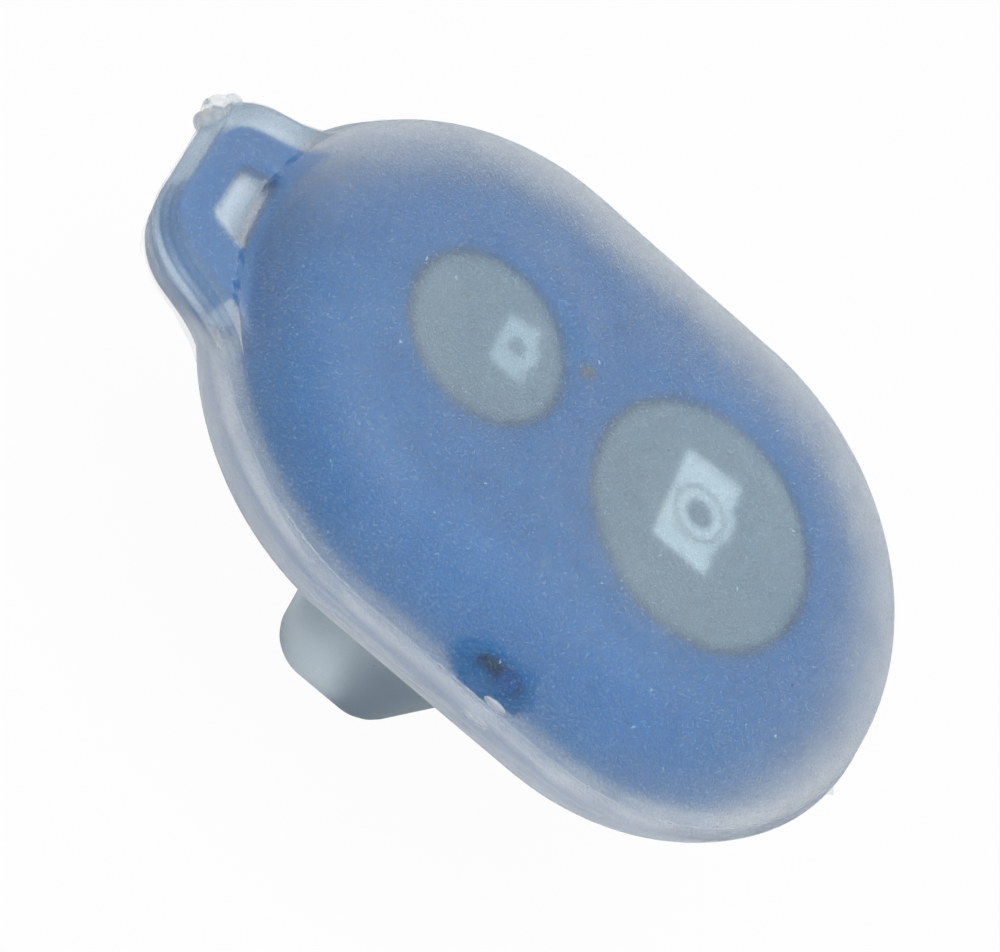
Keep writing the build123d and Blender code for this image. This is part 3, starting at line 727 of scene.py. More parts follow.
    def bloom(self, materials: list[bpy.types.Material]) -> None:
        """Make the dust on the front: a thin closed shell of the outer rings, moved along their normals.

        The normal is the cross product of the differences down the rings and round them.

        Args:
            materials: finishes of the dust's upper side and of its underside.
        """
        rings = np.concatenate([self.dome(), self.loop_upper()])
        beside = np.roll(rings, -1, axis=1) - np.roll(rings, 1, axis=1)
        normal = np.cross(np.gradient(rings, axis=0), beside)
        length = np.linalg.norm(normal, axis=-1, keepdims=True)
        up = np.broadcast_to([0.0, 0.0, 1.0], normal.shape)
        normal = np.where(length > TINY, normal / np.maximum(length, TINY), up)
        outer = rings + normal * self.bloom_out + self.lift
        inner = rings + normal * self.bloom_in + self.lift
        under = np.arange(2 * len(outer) - 1) >= len(outer)
        piece = Piece("silicone_bloom")
        piece.rings(np.concatenate([outer, inner[::-1]]), finish=np.where(under, 1, 0)[:, None])
        piece.build(materials, Slot.SKIN, Body.REMOTE)

    def outside_finish(self, points: Array) -> Array:
        """Number of the outer surface's finish at each point: on the loop a milkier copy with painted
        light, on the block a copy greyer for its thickness, with painted shade.
        """
        body = self.oval(self.widest)
        beyond = np.hypot(points[..., 0], points[..., 1]) > body - self.milky_lit_overlap
        high = points[..., 2] > self.seam_z - self.margin
        looped = (self.loop.reach(self.angle) > body + self.milky_lit_start) & beyond & high
        block = points[..., 2] < self.back - self.block_fillet / 2
        # Finish 2 is a milkier copy with painted light, finish 4 the block's greyer copy with painted
        # shade.
        return np.where(looped, 2, np.where(block, 4, 0))

    def hollow_finish(self, points: Array) -> Array:
        """Number of the hollow's finish at each point: wet on the loop's top and at the slide switch."""
        x, y, z = np.moveaxis(points, -1, 0)
        own = self.plan.distance(x, y) > self.widest - self.wet_margin
        top = z > self.case_loop_top + self.air - self.margin
        cling = own & (x < self.wet_x) & (top | (y < self.wet_y))
        return np.where(cling | (self.switch_patch(x, z) & (y < 0)), 3, 1)

    def switch_patch(self, x: Array, z: Array) -> Array:
        """Whether points of the side lie in the oval at the slide switch where the skin is wet."""
        centre_x, centre_z, half_x, half_z = self.wet_switch
        return ((x - centre_x) / half_x) ** 2 + ((z - centre_z) / half_z) ** 2 < 1

    def build(self, materials: list[bpy.types.Material]) -> None:
        """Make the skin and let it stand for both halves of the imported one.

        Args:
            materials: finishes of the outer surface, the hollow, the loop's top, the wet contact with
                the case, and the block.
        """
        outside = np.concatenate([self.dome(), self.loop_upper(), self.lower()])
        hollow, skip = self.hollow()
        piece = Piece("silicone_skin")
        piece.rings(outside + self.lift, finish=self.outside_finish(outside[1:]))
        piece.rings(hollow + self.lift, inward=True, skip=skip, finish=self.hollow_finish(hollow[1:]))
        made = piece.build(materials, Slot.SKIN, Body.REMOTE)
        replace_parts(made, "cover_front", "cover_back")


@dataclass(frozen=True)
class Ball:
    """One drop of glue, by its place and radius."""

    x: float
    y: float
    z: float
    radius: float


@dataclass
class SeamGlue:
    """Glue along the seam: a ragged lip with a drip, a smear below it, a clear lump and two drops."""

    skin: Skin
    lip_out: float = 0.07
    lip_half: float = 0.09
    lip_bury: float = 0.04
    lip_sides: int = 8
    film_top: float = 0.75
    film_foot: float = -2.3
    film_out: float = 0.03
    film_bury: float = -0.015
    film_rows: int = 9
    film_ragged: float = 0.9
    ripple: float = 0.32
    drip_angle: float = -0.228
    drip_out: float = 0.5
    drip_width: float = 0.012
    film_levels: int = 24
    short: float = 0.001
    lump_steps: int = 56
    lump_least: float = 0.2
    lump_blend: float = 0.16
    lump_wave: float = 0.03
    ripples: tuple[tuple[int, float], ...] = ((7, 0.5), (13, 0.6), (29, 0.7), (53, 0.6), (91, 0.5))
    drops: tuple[tuple[Triple, Triple], ...] = (
        ((2.5, -17.78, -0.35), (1.15, 0.22, 0.34)), ((2.6, -17.35, 1.12), (0.8, 0.3, 0.26)),
    )
    lump: tuple[Ball, ...] = (
        Ball(-29.3, 2.2, 0.75, 0.72), Ball(-29.12, 3.5, 0.7, 0.9), Ball(-28.5, 4.6, 0.7, 0.7),
        Ball(-29.0, 2.8, 0.95, 0.7), Ball(-28.9, 4.2, 0.4, 0.8),
    )

    def ragged(self, seed: float) -> Array:
        """Uneven share from 0 to 1 round the seam: a sum of sines of whole counts.

        Args:
            seed: sets the sines' phases, so that two calls differ.

        Returns:
            One share for each direction.
        """
        turn = self.skin.angle
        waves = np.zeros_like(turn)
        for count, weight in self.ripples:
            waves += weight * np.sin(count * turn + seed * count + seed)
        return np.clip(0.5 + self.ripple * waves, 0, 1)

    def seam(self) -> Array:
        """Distance of the seam from the middle in each direction."""
        return self.skin.outline(self.skin.widest - self.skin.seam_inset, 0.0)

    def bulge(self) -> Array:
        """Extra reach of the drip at the large end: a narrow bell over its direction."""
        away = np.angle(np.exp(1j * (self.skin.angle - self.drip_angle)))
        return self.drip_out * np.exp(-((away / self.drip_width) ** 2))

    def lip(self) -> Piece:
        """Bead round the seam, an ellipse of uneven width and height carried along the outline."""
        piece = Piece("seam_glue_lip")
        skin, seam, bulge = self.skin, self.seam(), self.bulge()
        width = self.lip_out * (0.5 + self.ragged(1.3)) + self.lip_bury
        height = self.lip_half * (0.6 + 0.9 * self.ragged(4.1)) + 0.5 * bulge
        rings = []
        for turn in np.linspace(0, TURN, self.lip_sides + 1):
            across, up = math.cos(turn), math.sin(turn)
            out = (width + bulge) * across if across > 0 else self.lip_bury * across
            rings.append(skin.ring(seam + out, skin.seam_z + skin.middle + height * up))
        piece.rings(np.stack(rings), inward=True)
        return piece

    def film(self) -> Piece:
        """Smear over the wall below the seam: a thin closed shell with a ragged lower edge."""
        piece = Piece("seam_glue_film")
        skin = self.skin
        foot = self.film_foot + self.film_ragged * self.ragged(2.2)
        outer, inner = [], []
        for share in np.linspace(0, 1, self.film_rows):
            level = self.film_top + (foot - self.film_top) * share
            reach = self.wall_reach(level)
            swell = self.film_out * (0.4 + self.ragged(3.0 + 2 * share))
            outer.append(skin.ring(reach + swell, level + skin.middle))
            inner.append(skin.ring(reach + self.film_bury, level + skin.middle))
        piece.rings(np.stack(outer + inner[::-1] + outer[:1]))
        return piece

    def wall_reach(self, level: Array) -> Array:
        """Reach of the skin's wall at a level of its own in each direction.

        It is drawn straight between rows of fixed levels, short of the last one.
        """
        skin, last = self.skin, self.film_levels - 1
        slope = skin.loop_under_inset / (skin.seam_z - skin.loop_bottom)
        table = np.stack([
            skin.outline(skin.wall_radius(z), slope * (skin.seam_z - z))
            for z in np.linspace(self.film_top, self.film_foot, self.film_levels)
        ])
        down = (self.film_top - level) / (self.film_top - self.film_foot)
        place = np.clip(down * last, 0, last - self.short)
        low = place.astype(int)
        share = place - low
        column = np.arange(skin.steps)
        return table[low, column] * (1 - share) + table[low + 1, column] * share

    def lump_piece(self) -> Piece:
        """Clear lump and two drops: in each direction from its middle the largest reach of its balls.

        A ball's reach is the far root of the ray with it, along + sqrt(radius^2 - c.c + along^2). The
        rays are the rows and columns of a globe.
        """
        piece = Piece("seam_glue_lump")
        middle = np.mean([[ball.x, ball.y, ball.z] for ball in self.lump], axis=0)
        rows = np.linspace(0, math.pi, self.lump_steps)
        columns = np.linspace(0, TURN, self.lump_steps * 2, endpoint=False)
        polar, around = np.meshgrid(rows, columns, indexing="ij")
        out = np.sin(polar)
        ray = np.stack([out * np.cos(around), out * np.sin(around), np.cos(polar)], axis=-1)
        reach = np.full(polar.shape, self.lump_least)
        for ball in self.lump:
            centre = np.array([ball.x, ball.y, ball.z]) - middle
            along = ray @ centre
            inside = ball.radius**2 - centre @ centre + along**2
            ball_reach = np.where(inside > 0, along + np.sqrt(np.maximum(inside, 0)), 0.0)
            reach = smooth_max(reach, ball_reach, self.lump_blend)
        reach = reach * (1 + self.lump_wave * np.sin(7 * around + 3 * polar) * np.sin(5 * polar) * out)
        piece.rings(middle + ray * reach[..., None] + self.skin.lift)
        for centre, radii in self.drops:
            piece.rings(np.array(centre) + ray * np.array(radii) + self.skin.lift)
        return piece

    def build(self, lip: bpy.types.Material, film: bpy.types.Material, lump: bpy.types.Material) -> None:
        """Make the glue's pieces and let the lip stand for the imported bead.

        Args:
            lip: finish of the lip along the seam.
            film: finish of the smear below it.
            lump: finish of the lump and the drops.
        """
        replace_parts(self.lip().build([lip], Slot.GLUE, Body.REMOTE), "seam_glue")
        self.film().build([film], Slot.GLUE, Body.REMOTE)
        self.lump_piece().build([lump], Slot.GLUE, Body.REMOTE)


@dataclass
class Pictogram:
    """Plain camera sign printed on one cap: a body with a bump, round a lens of two rings."""

    name: str
    body: Body
    dish: Dish
    corners: tuple[tuple[float, float], ...]
    lens: tuple[float, float]
    lens_radius: float
    pupil: float
    line: float
    crown: float = 6.65
    below: float = 1.6
    ink: float = 0.03
    soften: float = 1.2
    shares: tuple[float, ...] = (0, 0.33, 0.67, 1)
    steps: int = 360

    def outline(self, angle: Array) -> Array:
        """Distance from the lens to the body's outline, its corners softened by a running mean.

        For each edge from p to q the ray's reach is cross(p, q - p) / cross(ray, q - p) where it meets
        the edge between its ends.
        """
        start = np.array(self.corners) - np.array(self.lens)
        edge = np.roll(start, -1, axis=0) - start
        ray = np.stack([np.cos(angle), np.sin(angle)], axis=-1)[:, None]
        turn = ray[..., 0] * edge[:, 1] - ray[..., 1] * edge[:, 0]
        turn = np.where(np.abs(turn) < TINY, TINY, turn)
        reach = (start[:, 0] * edge[:, 1] - start[:, 1] * edge[:, 0]) / turn
        share = (start[:, 0] * ray[..., 1] - start[:, 1] * ray[..., 0]) / turn
        reach = np.where((reach > 0) & (share >= 0) & (share <= 1), reach, np.inf).min(axis=1)
        step = np.arange(self.steps)
        spread = np.exp(-((np.minimum(step, self.steps - step) / self.soften) ** 2))
        return np.real(np.fft.ifft(np.fft.fft(reach) * np.fft.fft(spread / spread.sum())))

    def area(self, piece: Piece, angle: Array, inner: Array, outer: Array, middle: float) -> None:
        """Add a closed plate between two outlines about the lens, lying on the cap's hollow.

        Args:
            piece: takes the plate.
            angle: directions about the lens.
            inner: distance of the inner outline in each direction.
            outer: distance of the outer outline.
            middle: level of the case's widest place above the origin.
        """
        rings = []
        for share in self.shares:
            reach = inner + (outer - inner) * share
            x = self.lens[0] + reach * np.cos(angle)
            y = self.lens[1] + reach * np.sin(angle)
            rings.append(np.stack([x, y, self.dish.level(x, y, self.crown, self.below) + middle], axis=-1))
        top = np.stack(rings)
        foot = top[::-1].copy()
        top[..., 2] += self.ink
        foot[..., 2] -= self.ink / 3
        piece.rings(np.concatenate([top, foot, top[:1]]))

    def build(self, material: bpy.types.Material) -> None:
        """Make the printed sign and let it ride on its button."""
        piece = Piece(self.name)
        angle = np.linspace(0, TURN, self.steps, endpoint=False)
        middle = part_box("top_shell")[0][2] / MM
        even = np.ones_like(angle)
        self.area(piece, angle, even * (self.lens_radius + self.line / 2), self.outline(angle), middle)
        if self.pupil < self.lens_radius - self.line:
            self.area(piece, angle, even * self.pupil, even * (self.lens_radius - self.line / 2), middle)
        piece.build([material], Slot.CAP, self.body)


LARGE_SIGN = Pictogram(
    name="large_button_sign", body=Body.LARGE, dish=LARGE_DISH,
    corners=(
        (4.65, 4.12), (8.92, 4.52), (8.98, 2.55), (9.5, 2.1), (9.55, 0.35), (9.1, -0.15),
        (9.2, -2.92), (4.9, -3.04),
    ),
    lens=(7.15, 0.7), lens_radius=1.8, pupil=0.95, line=0.16,
)
SMALL_SIGN = Pictogram(
    name="small_button_sign", body=Body.SMALL, dish=SMALL_DISH,
    corners=(
        (-9.04, 2.76), (-6.71, 3.19), (-6.65, 1.9), (-6.2, 1.7), (-6.15, 0.5), (-6.5, 0.3),
        (-6.3, -1.26), (-9.04, -1.12),
    ),
    lens=(-7.7, 0.98), lens_radius=0.5, pupil=0.5, line=0.1,
)


def rgba(colour: Colour) -> tuple[float, float, float, float]:
    """The colour with an alpha of one."""
    return (*colour, 1.0)


class Graph:
    """A node tree with short calls to place and join its nodes."""

    def __init__(self, tree: bpy.types.NodeTree) -> None:
        """Take the tree as it is."""
        self.tree = tree

    def feed(self, socket: Socket, value: object) -> None:
        """Join another node's socket to an input, or set the input's own value."""
        if isinstance(value, bpy.types.NodeSocket):
            self.tree.links.new(value, socket)
        else:
            socket.default_value = value

    def node(self, kind: str, inputs: dict | None = None, **settings: object) -> Node:
        """Add a node.

        Args:
            kind: Blender's type name without its leading "ShaderNode".
            inputs: values or sockets for the node's inputs, by name or number.
            settings: properties of the node.

        Returns:
            The new node.
        """
        made = self.tree.nodes.new("ShaderNode" + kind)
        for name, value in settings.items():
            setattr(made, name, value)
        for name, value in (inputs or {}).items():
            self.feed(made.inputs[name], value)
        return made

    def math(self, operation: str, *values: object, clamp: bool = False) -> Socket:
        """Result of a Math node, kept between 0 and 1 if clamp is set."""
        made = self.node("Math", dict(enumerate(values)), operation=operation, use_clamp=clamp)
        return made.outputs[0]

    def vector(self, operation: str, *values: object) -> Node:
        """Vector Math node of an operation."""
        return self.node("VectorMath", dict(enumerate(values)), operation=operation)


class Material(Graph):
    """A new node material."""

    def __init__(self, name: str) -> None:
        """Start with an output node and the Object coordinates."""
        self.data = bpy.data.materials.new(name)
        self.data.use_nodes = True
        super().__init__(self.data.node_tree)
        self.tree.nodes.clear()
        self.output = self.tree.nodes.new("ShaderNodeOutputMaterial")
        self.place = self.node("TexCoord").outputs["Object"]

    def effect(
        self, group: bpy.types.NodeTree, place: Socket | None = None, **numbers: float,
    ) -> Socket:
        """Add a node group.

        Args:
            group: the effect.
            place: where it is read, the Object coordinates if none is given.
            numbers: its other inputs by name; those left out keep their defaults.

        Returns:
            Its only output.
        """
        made = self.tree.nodes.new("ShaderNodeGroup")
        made.node_tree = group
        self.feed(made.inputs["Place"], self.place if place is None else place)
        for name, value in numbers.items():
            self.feed(made.inputs[name], value)
        return made.outputs[0]

    def ramp(
        self, value: Socket, low: float, high: float, to_low: float = 0.0, to_high: float = 1.0,
    ) -> Socket:
        """Value carried smoothly from one range to another."""
        return self.node("MapRange", {
            "Value": value, "From Min": low, "From Max": high, "To Min": to_low, "To Max": to_high,
        }, interpolation_type="SMOOTHSTEP").outputs["Result"]

    def blend(self, mask: Socket, first: object, second: object) -> Socket:
        """Colour that goes from the first to the second with the mask."""
        made = self.node("Mix", {"Factor": mask}, data_type="RGBA")
        ends = [one for one in made.inputs if one.type == "RGBA"]
        for socket, value in zip(ends, (first, second)):
            self.feed(socket, rgba(value) if isinstance(value, tuple) else value)
        return next(one for one in made.outputs if one.type == "RGBA")

    def near(self, centre: Triple, radii: Triple) -> Socket:
        """Mask that is 1 about a place in millimetres and falls to 0 at the radii of an ellipsoid."""
        moved = self.vector("SUBTRACT", self.place, [value * MM for value in centre])
        sized = self.vector("DIVIDE", moved.outputs[0], [value * MM for value in radii])
        away = self.vector("LENGTH", sized.outputs[0])
        return self.ramp(away.outputs["Value"], 1.0, 0.35)

    def bump(self, height: Socket, depth: float, strength: float = 1.0) -> Socket:
        """Normal from a height; the depth of its full range is in millimetres."""
        made = self.node("Bump", {"Height": height, "Distance": depth * MM, "Strength": strength})
        return made.outputs[0]

    def principled(self, inputs: dict) -> bpy.types.Material:
        """Finish with one Principled shader."""
        return self.finish(self.node("BsdfPrincipled", inputs).outputs[0])

    def finish(self, shader: Socket) -> bpy.types.Material:
        """Join the shader to the output and return the material."""
        self.feed(self.output.inputs["Surface"], shader)
        return self.data


class Group(Graph):
    """A shader node group: its inputs are a place and plain numbers, its output is one value."""

    def __init__(self, name: str, output: str, **numbers: float) -> None:
        """Lay out the sockets.

        Args:
            name: the group's name.
            output: name of the value that it gives.
            numbers: default of each number, by name.
        """
        super().__init__(bpy.data.node_groups.new(name, "ShaderNodeTree"))
        add = self.tree.interface.new_socket
        add("Place", in_out="INPUT", socket_type="NodeSocketVector")
        for label, value in numbers.items():
            add(label, in_out="INPUT", socket_type="NodeSocketFloat").default_value = value
        add(output, in_out="OUTPUT", socket_type="NodeSocketFloat")
        sockets = self.tree.nodes.new("NodeGroupInput").outputs
        self.place = sockets["Place"]
        self.numbers = [sockets[label] for label in numbers]
        self.end = self.tree.nodes.new("NodeGroupOutput").inputs[output]

    def noise(self, scale: object, place: Socket | None = None, **inputs: object) -> Node:
        """Noise texture at the group's place, or at another one."""
        where = self.place if place is None else place
        return self.node("TexNoise", {"Vector": where, "Scale": scale, **inputs})

    def give(self, value: Socket) -> bpy.types.NodeTree:
        """Join a value to the output and return the group."""
        self.feed(self.end, value)
        return self.tree


class Effects:
    """The surface effects that the finishes share, each a node group."""

    def __init__(self) -> None:
        """Build the groups once."""
        self.grain = self.make_grain()
        self.mottle = self.make_mottle()
        self.specks = self.make_specks()
        self.scratches = self.make_scratches()

    @staticmethod
    def make_grain() -> bpy.types.NodeTree:
        """Fine skin of a moulded surface: two noises, one three times as fine, as one height."""
        group = Group("grain", "Height", Scale=3000.0, Detail=3.0)
        scale, detail = group.numbers
        coarse = group.noise(scale, Detail=detail).outputs[0]
        fine = group.noise(group.math("MULTIPLY", scale, 3.1)).outputs[0]
        return group.give(group.math("MULTIPLY_ADD", fine, 0.4, coarse))

    @staticmethod
    def make_mottle() -> bpy.types.NodeTree:
        """Cloudy patches: a warped noise, spread over the whole range of 0 to 1."""
        group = Group("mottle", "Mask", Scale=400.0, Warp=1.0, Contrast=1.0)
        scale, warp, contrast = group.numbers
        cloud = group.noise(scale, Detail=4.0, Distortion=warp).outputs[0]
        wide = group.math("MULTIPLY", group.math("SUBTRACT", cloud, 0.5), 3.0)
        return group.give(group.math("MULTIPLY_ADD", wide, contrast, 0.5, clamp=True))

    @staticmethod
    def make_specks() -> bpy.types.NodeTree:
        """Sparse dust: spots at cell points, kept only in the cells whose random value is low."""
        group = Group("specks", "Mask", Scale=600.0, Size=0.12, Share=0.2)
        scale, size, share = group.numbers
        bent = group.noise(4000.0).outputs["Color"]
        shift = group.node("VectorMath", {0: bent, "Scale": 0.0004}, operation="SCALE")
        place = group.vector("ADD", group.place, shift.outputs[0])
        cell = group.node("TexVoronoi", {"Vector": place.outputs[0], "Scale": scale}).outputs
        parts = group.node("SeparateColor", {0: cell["Color"]}).outputs
        spot = group.math("LESS_THAN", cell["Distance"], group.math("MULTIPLY", parts[1], size))
        kept = group.math("LESS_THAN", parts[0], share)
        return group.give(group.math("MULTIPLY", spot, kept))

    @staticmethod
    def make_scratches() -> bpy.types.NodeTree:
        """Hairlines: thin zero lines of a noise that is drawn out one way, broken by a second noise."""
        group = Group("scratches", "Mask", Scale=90.0, Width=0.004, Turn=0.6)
        scale, width, turn = group.numbers
        turned = group.node(
            "VectorRotate", {"Vector": group.place, "Angle": turn}, rotation_type="Z_AXIS",
        )
        drawn = group.vector("MULTIPLY", turned.outputs[0], (1.0, 9.0, 1.0))
        wave = group.noise(scale, drawn.outputs[0], Detail=1.0).outputs[0]
        far = group.math("ABSOLUTE", group.math("SUBTRACT", wave, 0.5))
        line = group.math("LESS_THAN", far, width)
        kept = group.math("GREATER_THAN", group.noise(300.0).outputs[0], 0.55)
        return group.give(group.math("MULTIPLY", line, kept))


@dataclass(frozen=True)
class Silicone:
    """Frosted silicone: rough glass with a pale shadow, dust, hairlines and a glossy spot."""

    clean: Colour = (0.88, 0.92, 0.955)
    cloudy: Colour = (0.80, 0.86, 0.92)
    dirt: Colour = (0.12, 0.14, 0.18)
    chalk: Colour = (1.0, 1.0, 1.0)
    shadow: Colour = (0.9, 0.92, 0.95)
    roughness: float = 0.54
    smooth: float = 0.12
    transmission: float = 0.97
    sheen: float = 0.12
    specular: float = 0.5
    ior: float = 1.41
    wet_ior: float = 1.03
    wet: tuple[Colour, Colour] = ((0.97, 0.98, 1.0), (0.9, 0.93, 0.97))
    dust: tuple[Colour, Colour] = ((0.45, 0.72, 0.9), (0.7, 0.85, 0.95))
    # tint of the painted pale light over the large end of the dome
    painted_light_tint: Colour = (0.85, 0.91, 0.95)
    dust_under: tuple[Colour, Colour] = ((0.6, 0.75, 0.9), (0.75, 0.85, 0.95))
    gloss: tuple[Triple, Triple] = ((1.5, -17.3, 22.2), (3.6, 1.6, 1.2))
    # place and radii of the painted pale light over the large end of the dome
    painted_light_patch: tuple[Triple, Triple] = ((25.5, -9.0, 22.0), (14.0, 17.0, 5.5))

    def outside(self, effects: Effects, name: str) -> bpy.types.Material:
        """Finish of the skin's outer surface."""
        m = Material(name)
        mottle = m.effect(effects.mottle, Scale=160.0, Warp=0.6, Contrast=0.8)
        colour = m.blend(mottle, self.clean, self.cloudy)
        specks = m.effect(effects.specks, Scale=900.0, Size=0.11, Share=0.1)
        colour = m.blend(m.math("MULTIPLY", specks, 0.75), colour, self.dirt)
        scratch = m.effect(effects.scratches, Scale=70.0, Width=0.003, Turn=0.7)
        glossy = m.near(*self.gloss)
        grain = m.effect(effects.grain, Scale=5000.0, Detail=4.0)
        colour = m.blend(m.ramp(grain, 0.75, 1.0), colour, self.chalk)
        rough = m.ramp(mottle, 0.0, 1.0, self.roughness - 0.05, self.roughness + 0.05)
        rough = m.math("SUBTRACT", rough, m.math("MULTIPLY", glossy, self.roughness - self.smooth))
        relief = m.math("SUBTRACT", grain, scratch)
        return self.shell(m, colour, rough, m.bump(relief, 0.03, 0.8))

    def inside(self, effects: Effects) -> bpy.types.Material:
        """Finish of the hollow's wall, parted from the case by a little air."""
        m = Material("silicone_hollow")
        mottle = m.effect(effects.mottle, Scale=200.0, Warp=1.0, Contrast=0.8)
        colour = m.blend(mottle, self.clean, self.cloudy)
        rough = m.ramp(mottle, 0.0, 1.0, self.roughness - 0.08, self.roughness + 0.08)
        grain = m.effect(effects.grain, Scale=2500.0)
        return self.shell(m, colour, rough, m.bump(grain, 0.02))

    def contact(self, effects: Effects) -> bpy.types.Material:
        """Finish of the wall that lies on the case, where the wet contact hardly bends the light."""
        m = Material("silicone_contact")
        mottle = m.effect(effects.mottle, Scale=300.0, Warp=1.0, Contrast=0.7)
        skin = m.node("BsdfPrincipled", {
            "Base Color": m.blend(mottle, *self.wet), "Roughness": m.ramp(mottle, 0.0, 1.0, 0.2, 0.35),
            "IOR": self.wet_ior, "Transmission Weight": 1.0,
        })
        return self.with_shadow(m, skin.outputs[0])

    def bloom(self, effects: Effects) -> bpy.types.Material:
        """Dusty bloom on the skin: faint clouds, a fine pale speckle, hairlines and a painted pale light
        over the large end of the dome.
        """
        m = Material("dusty_bloom")
        cloud = m.effect(effects.mottle, Scale=120.0, Warp=1.2, Contrast=1.0)
        grain = m.effect(effects.grain, Scale=6500.0, Detail=2.0)
        dots = m.ramp(grain, 0.74, 0.92)
        scratch = m.effect(effects.scratches, Scale=55.0, Width=0.0018, Turn=0.9)
        flecks = m.effect(effects.specks, Scale=1900.0, Size=0.2, Share=0.08)
        # Painted pale light: the dust is paler and denser over the large end of the dome.
        painted_light_patch = m.near(*self.painted_light_patch)
        alpha = 0.005
        for mask, share in ((cloud, 0.03), (dots, 0.22), (scratch, 0.12), (flecks, 0.6), (painted_light_patch, 0.2)):
            alpha = m.math("MULTIPLY_ADD", mask, share, alpha)
        colour = m.blend(painted_light_patch, m.blend(cloud, *self.dust), self.painted_light_tint)
        return m.principled({
            "Base Color": colour, "Roughness": 0.6, "Alpha": alpha, "Normal": m.bump(grain, 0.02),
        })

    def veil(self, effects: Effects) -> bpy.types.Material:
        """Finish of the dust's underside, which is all but clear."""
        m = Material("bloom_underside")
        grain = m.effect(effects.grain, Scale=2500.0, Detail=0.0)
        return m.principled({
            "Base Color": m.blend(grain, *self.dust_under), "Roughness": 0.6,
            "Alpha": m.ramp(grain, 0.5, 1.0, 0.0, 0.02),
        })

    def shell(self, m: Material, colour: Socket, rough: Socket, normal: Socket) -> bpy.types.Material:
        """Rough glass of the given colour, roughness and normal."""
        skin = m.node("BsdfPrincipled", {
            "Base Color": colour, "Roughness": rough, "Normal": normal, "IOR": self.ior,
            "Specular IOR Level": self.specular, "Transmission Weight": self.transmission,
            "Sheen Weight": self.sheen, "Sheen Roughness": 0.4,
        })
        return self.with_shadow(m, skin.outputs[0])

    def with_shadow(self, m: Material, shader: Socket) -> bpy.types.Material:
        """Let lamp light through the skin: rays that look for a lamp pass as through clear film."""
        clear = m.node("BsdfTransparent", {"Color": rgba(self.shadow)})
        path = m.node("LightPath")
        mix = m.node("MixShader", {0: path.outputs["Is Shadow Ray"], 1: shader, 2: clear.outputs[0]})
        return m.finish(mix.outputs[0])


@dataclass(frozen=True)
class Glue:
    """Silicone glue: milky lip, see-through smear and glossy clear lump."""

    milk: Colour = (0.80, 0.87, 0.93)
    thin: Colour = (0.62, 0.72, 0.84)

    def lip(self, effects: Effects) -> bpy.types.Material:
        """Pale half-clear bead, patchy along its length."""
        m = Material("milky_glue")
        mottle = m.effect(effects.mottle, Scale=300.0, Warp=1.5, Contrast=0.8)
        colour = m.blend(mottle, self.thin, self.milk)
        grain = m.effect(effects.grain, Scale=2500.0)
        alpha = m.ramp(mottle, 0.0, 1.0, 0.08, 0.32)
        return m.principled({
            "Base Color": colour, "Roughness": 0.3, "Alpha": alpha, "Normal": m.bump(grain, 0.05),
        })

    def film(self, effects: Effects) -> bpy.types.Material:
        """Smear that is drawn out along the seam and all but gone in places."""
        m = Material("glue_smear")
        drawn = m.node("Mapping", {
            "Vector": m.place, "Scale": (0.35, 1.0, 2.6), "Rotation": (0.0, 0.0, 0.3),
        })
        streak = m.effect(effects.mottle, drawn.outputs[0], Scale=420.0, Warp=1.2, Contrast=1.4)
        alpha = m.ramp(streak, 0.1, 1.0, 0.0, 0.15)
        grain = m.effect(effects.grain, Scale=2000.0)
        colour = m.blend(streak, self.thin, self.milk)
        return m.principled({
            "Base Color": colour, "Roughness": 0.45, "Alpha": alpha, "Normal": m.bump(grain, 0.03),
        })

    def lump(self, effects: Effects) -> bpy.types.Material:
        """Clear glossy glue with a few cloudy patches."""
        m = Material("clear_glue")
        mottle = m.effect(effects.mottle, Scale=900.0, Warp=2.0, Contrast=1.0)
        colour = m.blend(mottle, WHITE, (0.86, 0.9, 0.93))
        height = m.effect(effects.grain, Scale=900.0, Detail=1.0)
        skin = m.node("BsdfPrincipled", {
            "Base Color": colour, "Roughness": m.ramp(mottle, 0.0, 1.0, 0.03, 0.25), "IOR": 1.43,
            "Transmission Weight": 0.72, "Normal": m.bump(height, 0.12),
        })
        return Silicone(shadow=(0.95, 0.96, 0.97)).with_shadow(m, skin.outputs[0])


@dataclass(frozen=True)
class Plastic:
    """Moulded plastic with a fine grain, cloudy colour and a few dust specks."""

    name: str
    colour: Colour
    worn: Colour
    roughness: float = 0.45
    specular: float = 0.3
    grain: float = 2600.0
    depth: float = 0.02
    mottle: float = 250.0

    def make(self, effects: Effects) -> bpy.types.Material:
        """Build the material."""
        m = Material(self.name)
        cloud = m.effect(effects.mottle, Scale=self.mottle, Warp=0.8, Contrast=0.8)
        specks = m.effect(effects.specks, Scale=500.0, Size=0.15, Share=0.1)
        colour = m.blend(cloud, self.colour, self.worn)
        colour = m.blend(m.math("MULTIPLY", specks, 0.4), colour, (0.5, 0.52, 0.54))
        grain = m.effect(effects.grain, Scale=self.grain)
        return m.principled({
            "Base Color": colour,
            "Roughness": m.ramp(cloud, 0.0, 1.0, self.roughness - 0.06, self.roughness + 0.06),
            "Specular IOR Level": self.specular, "Normal": m.bump(grain, self.depth),
        })


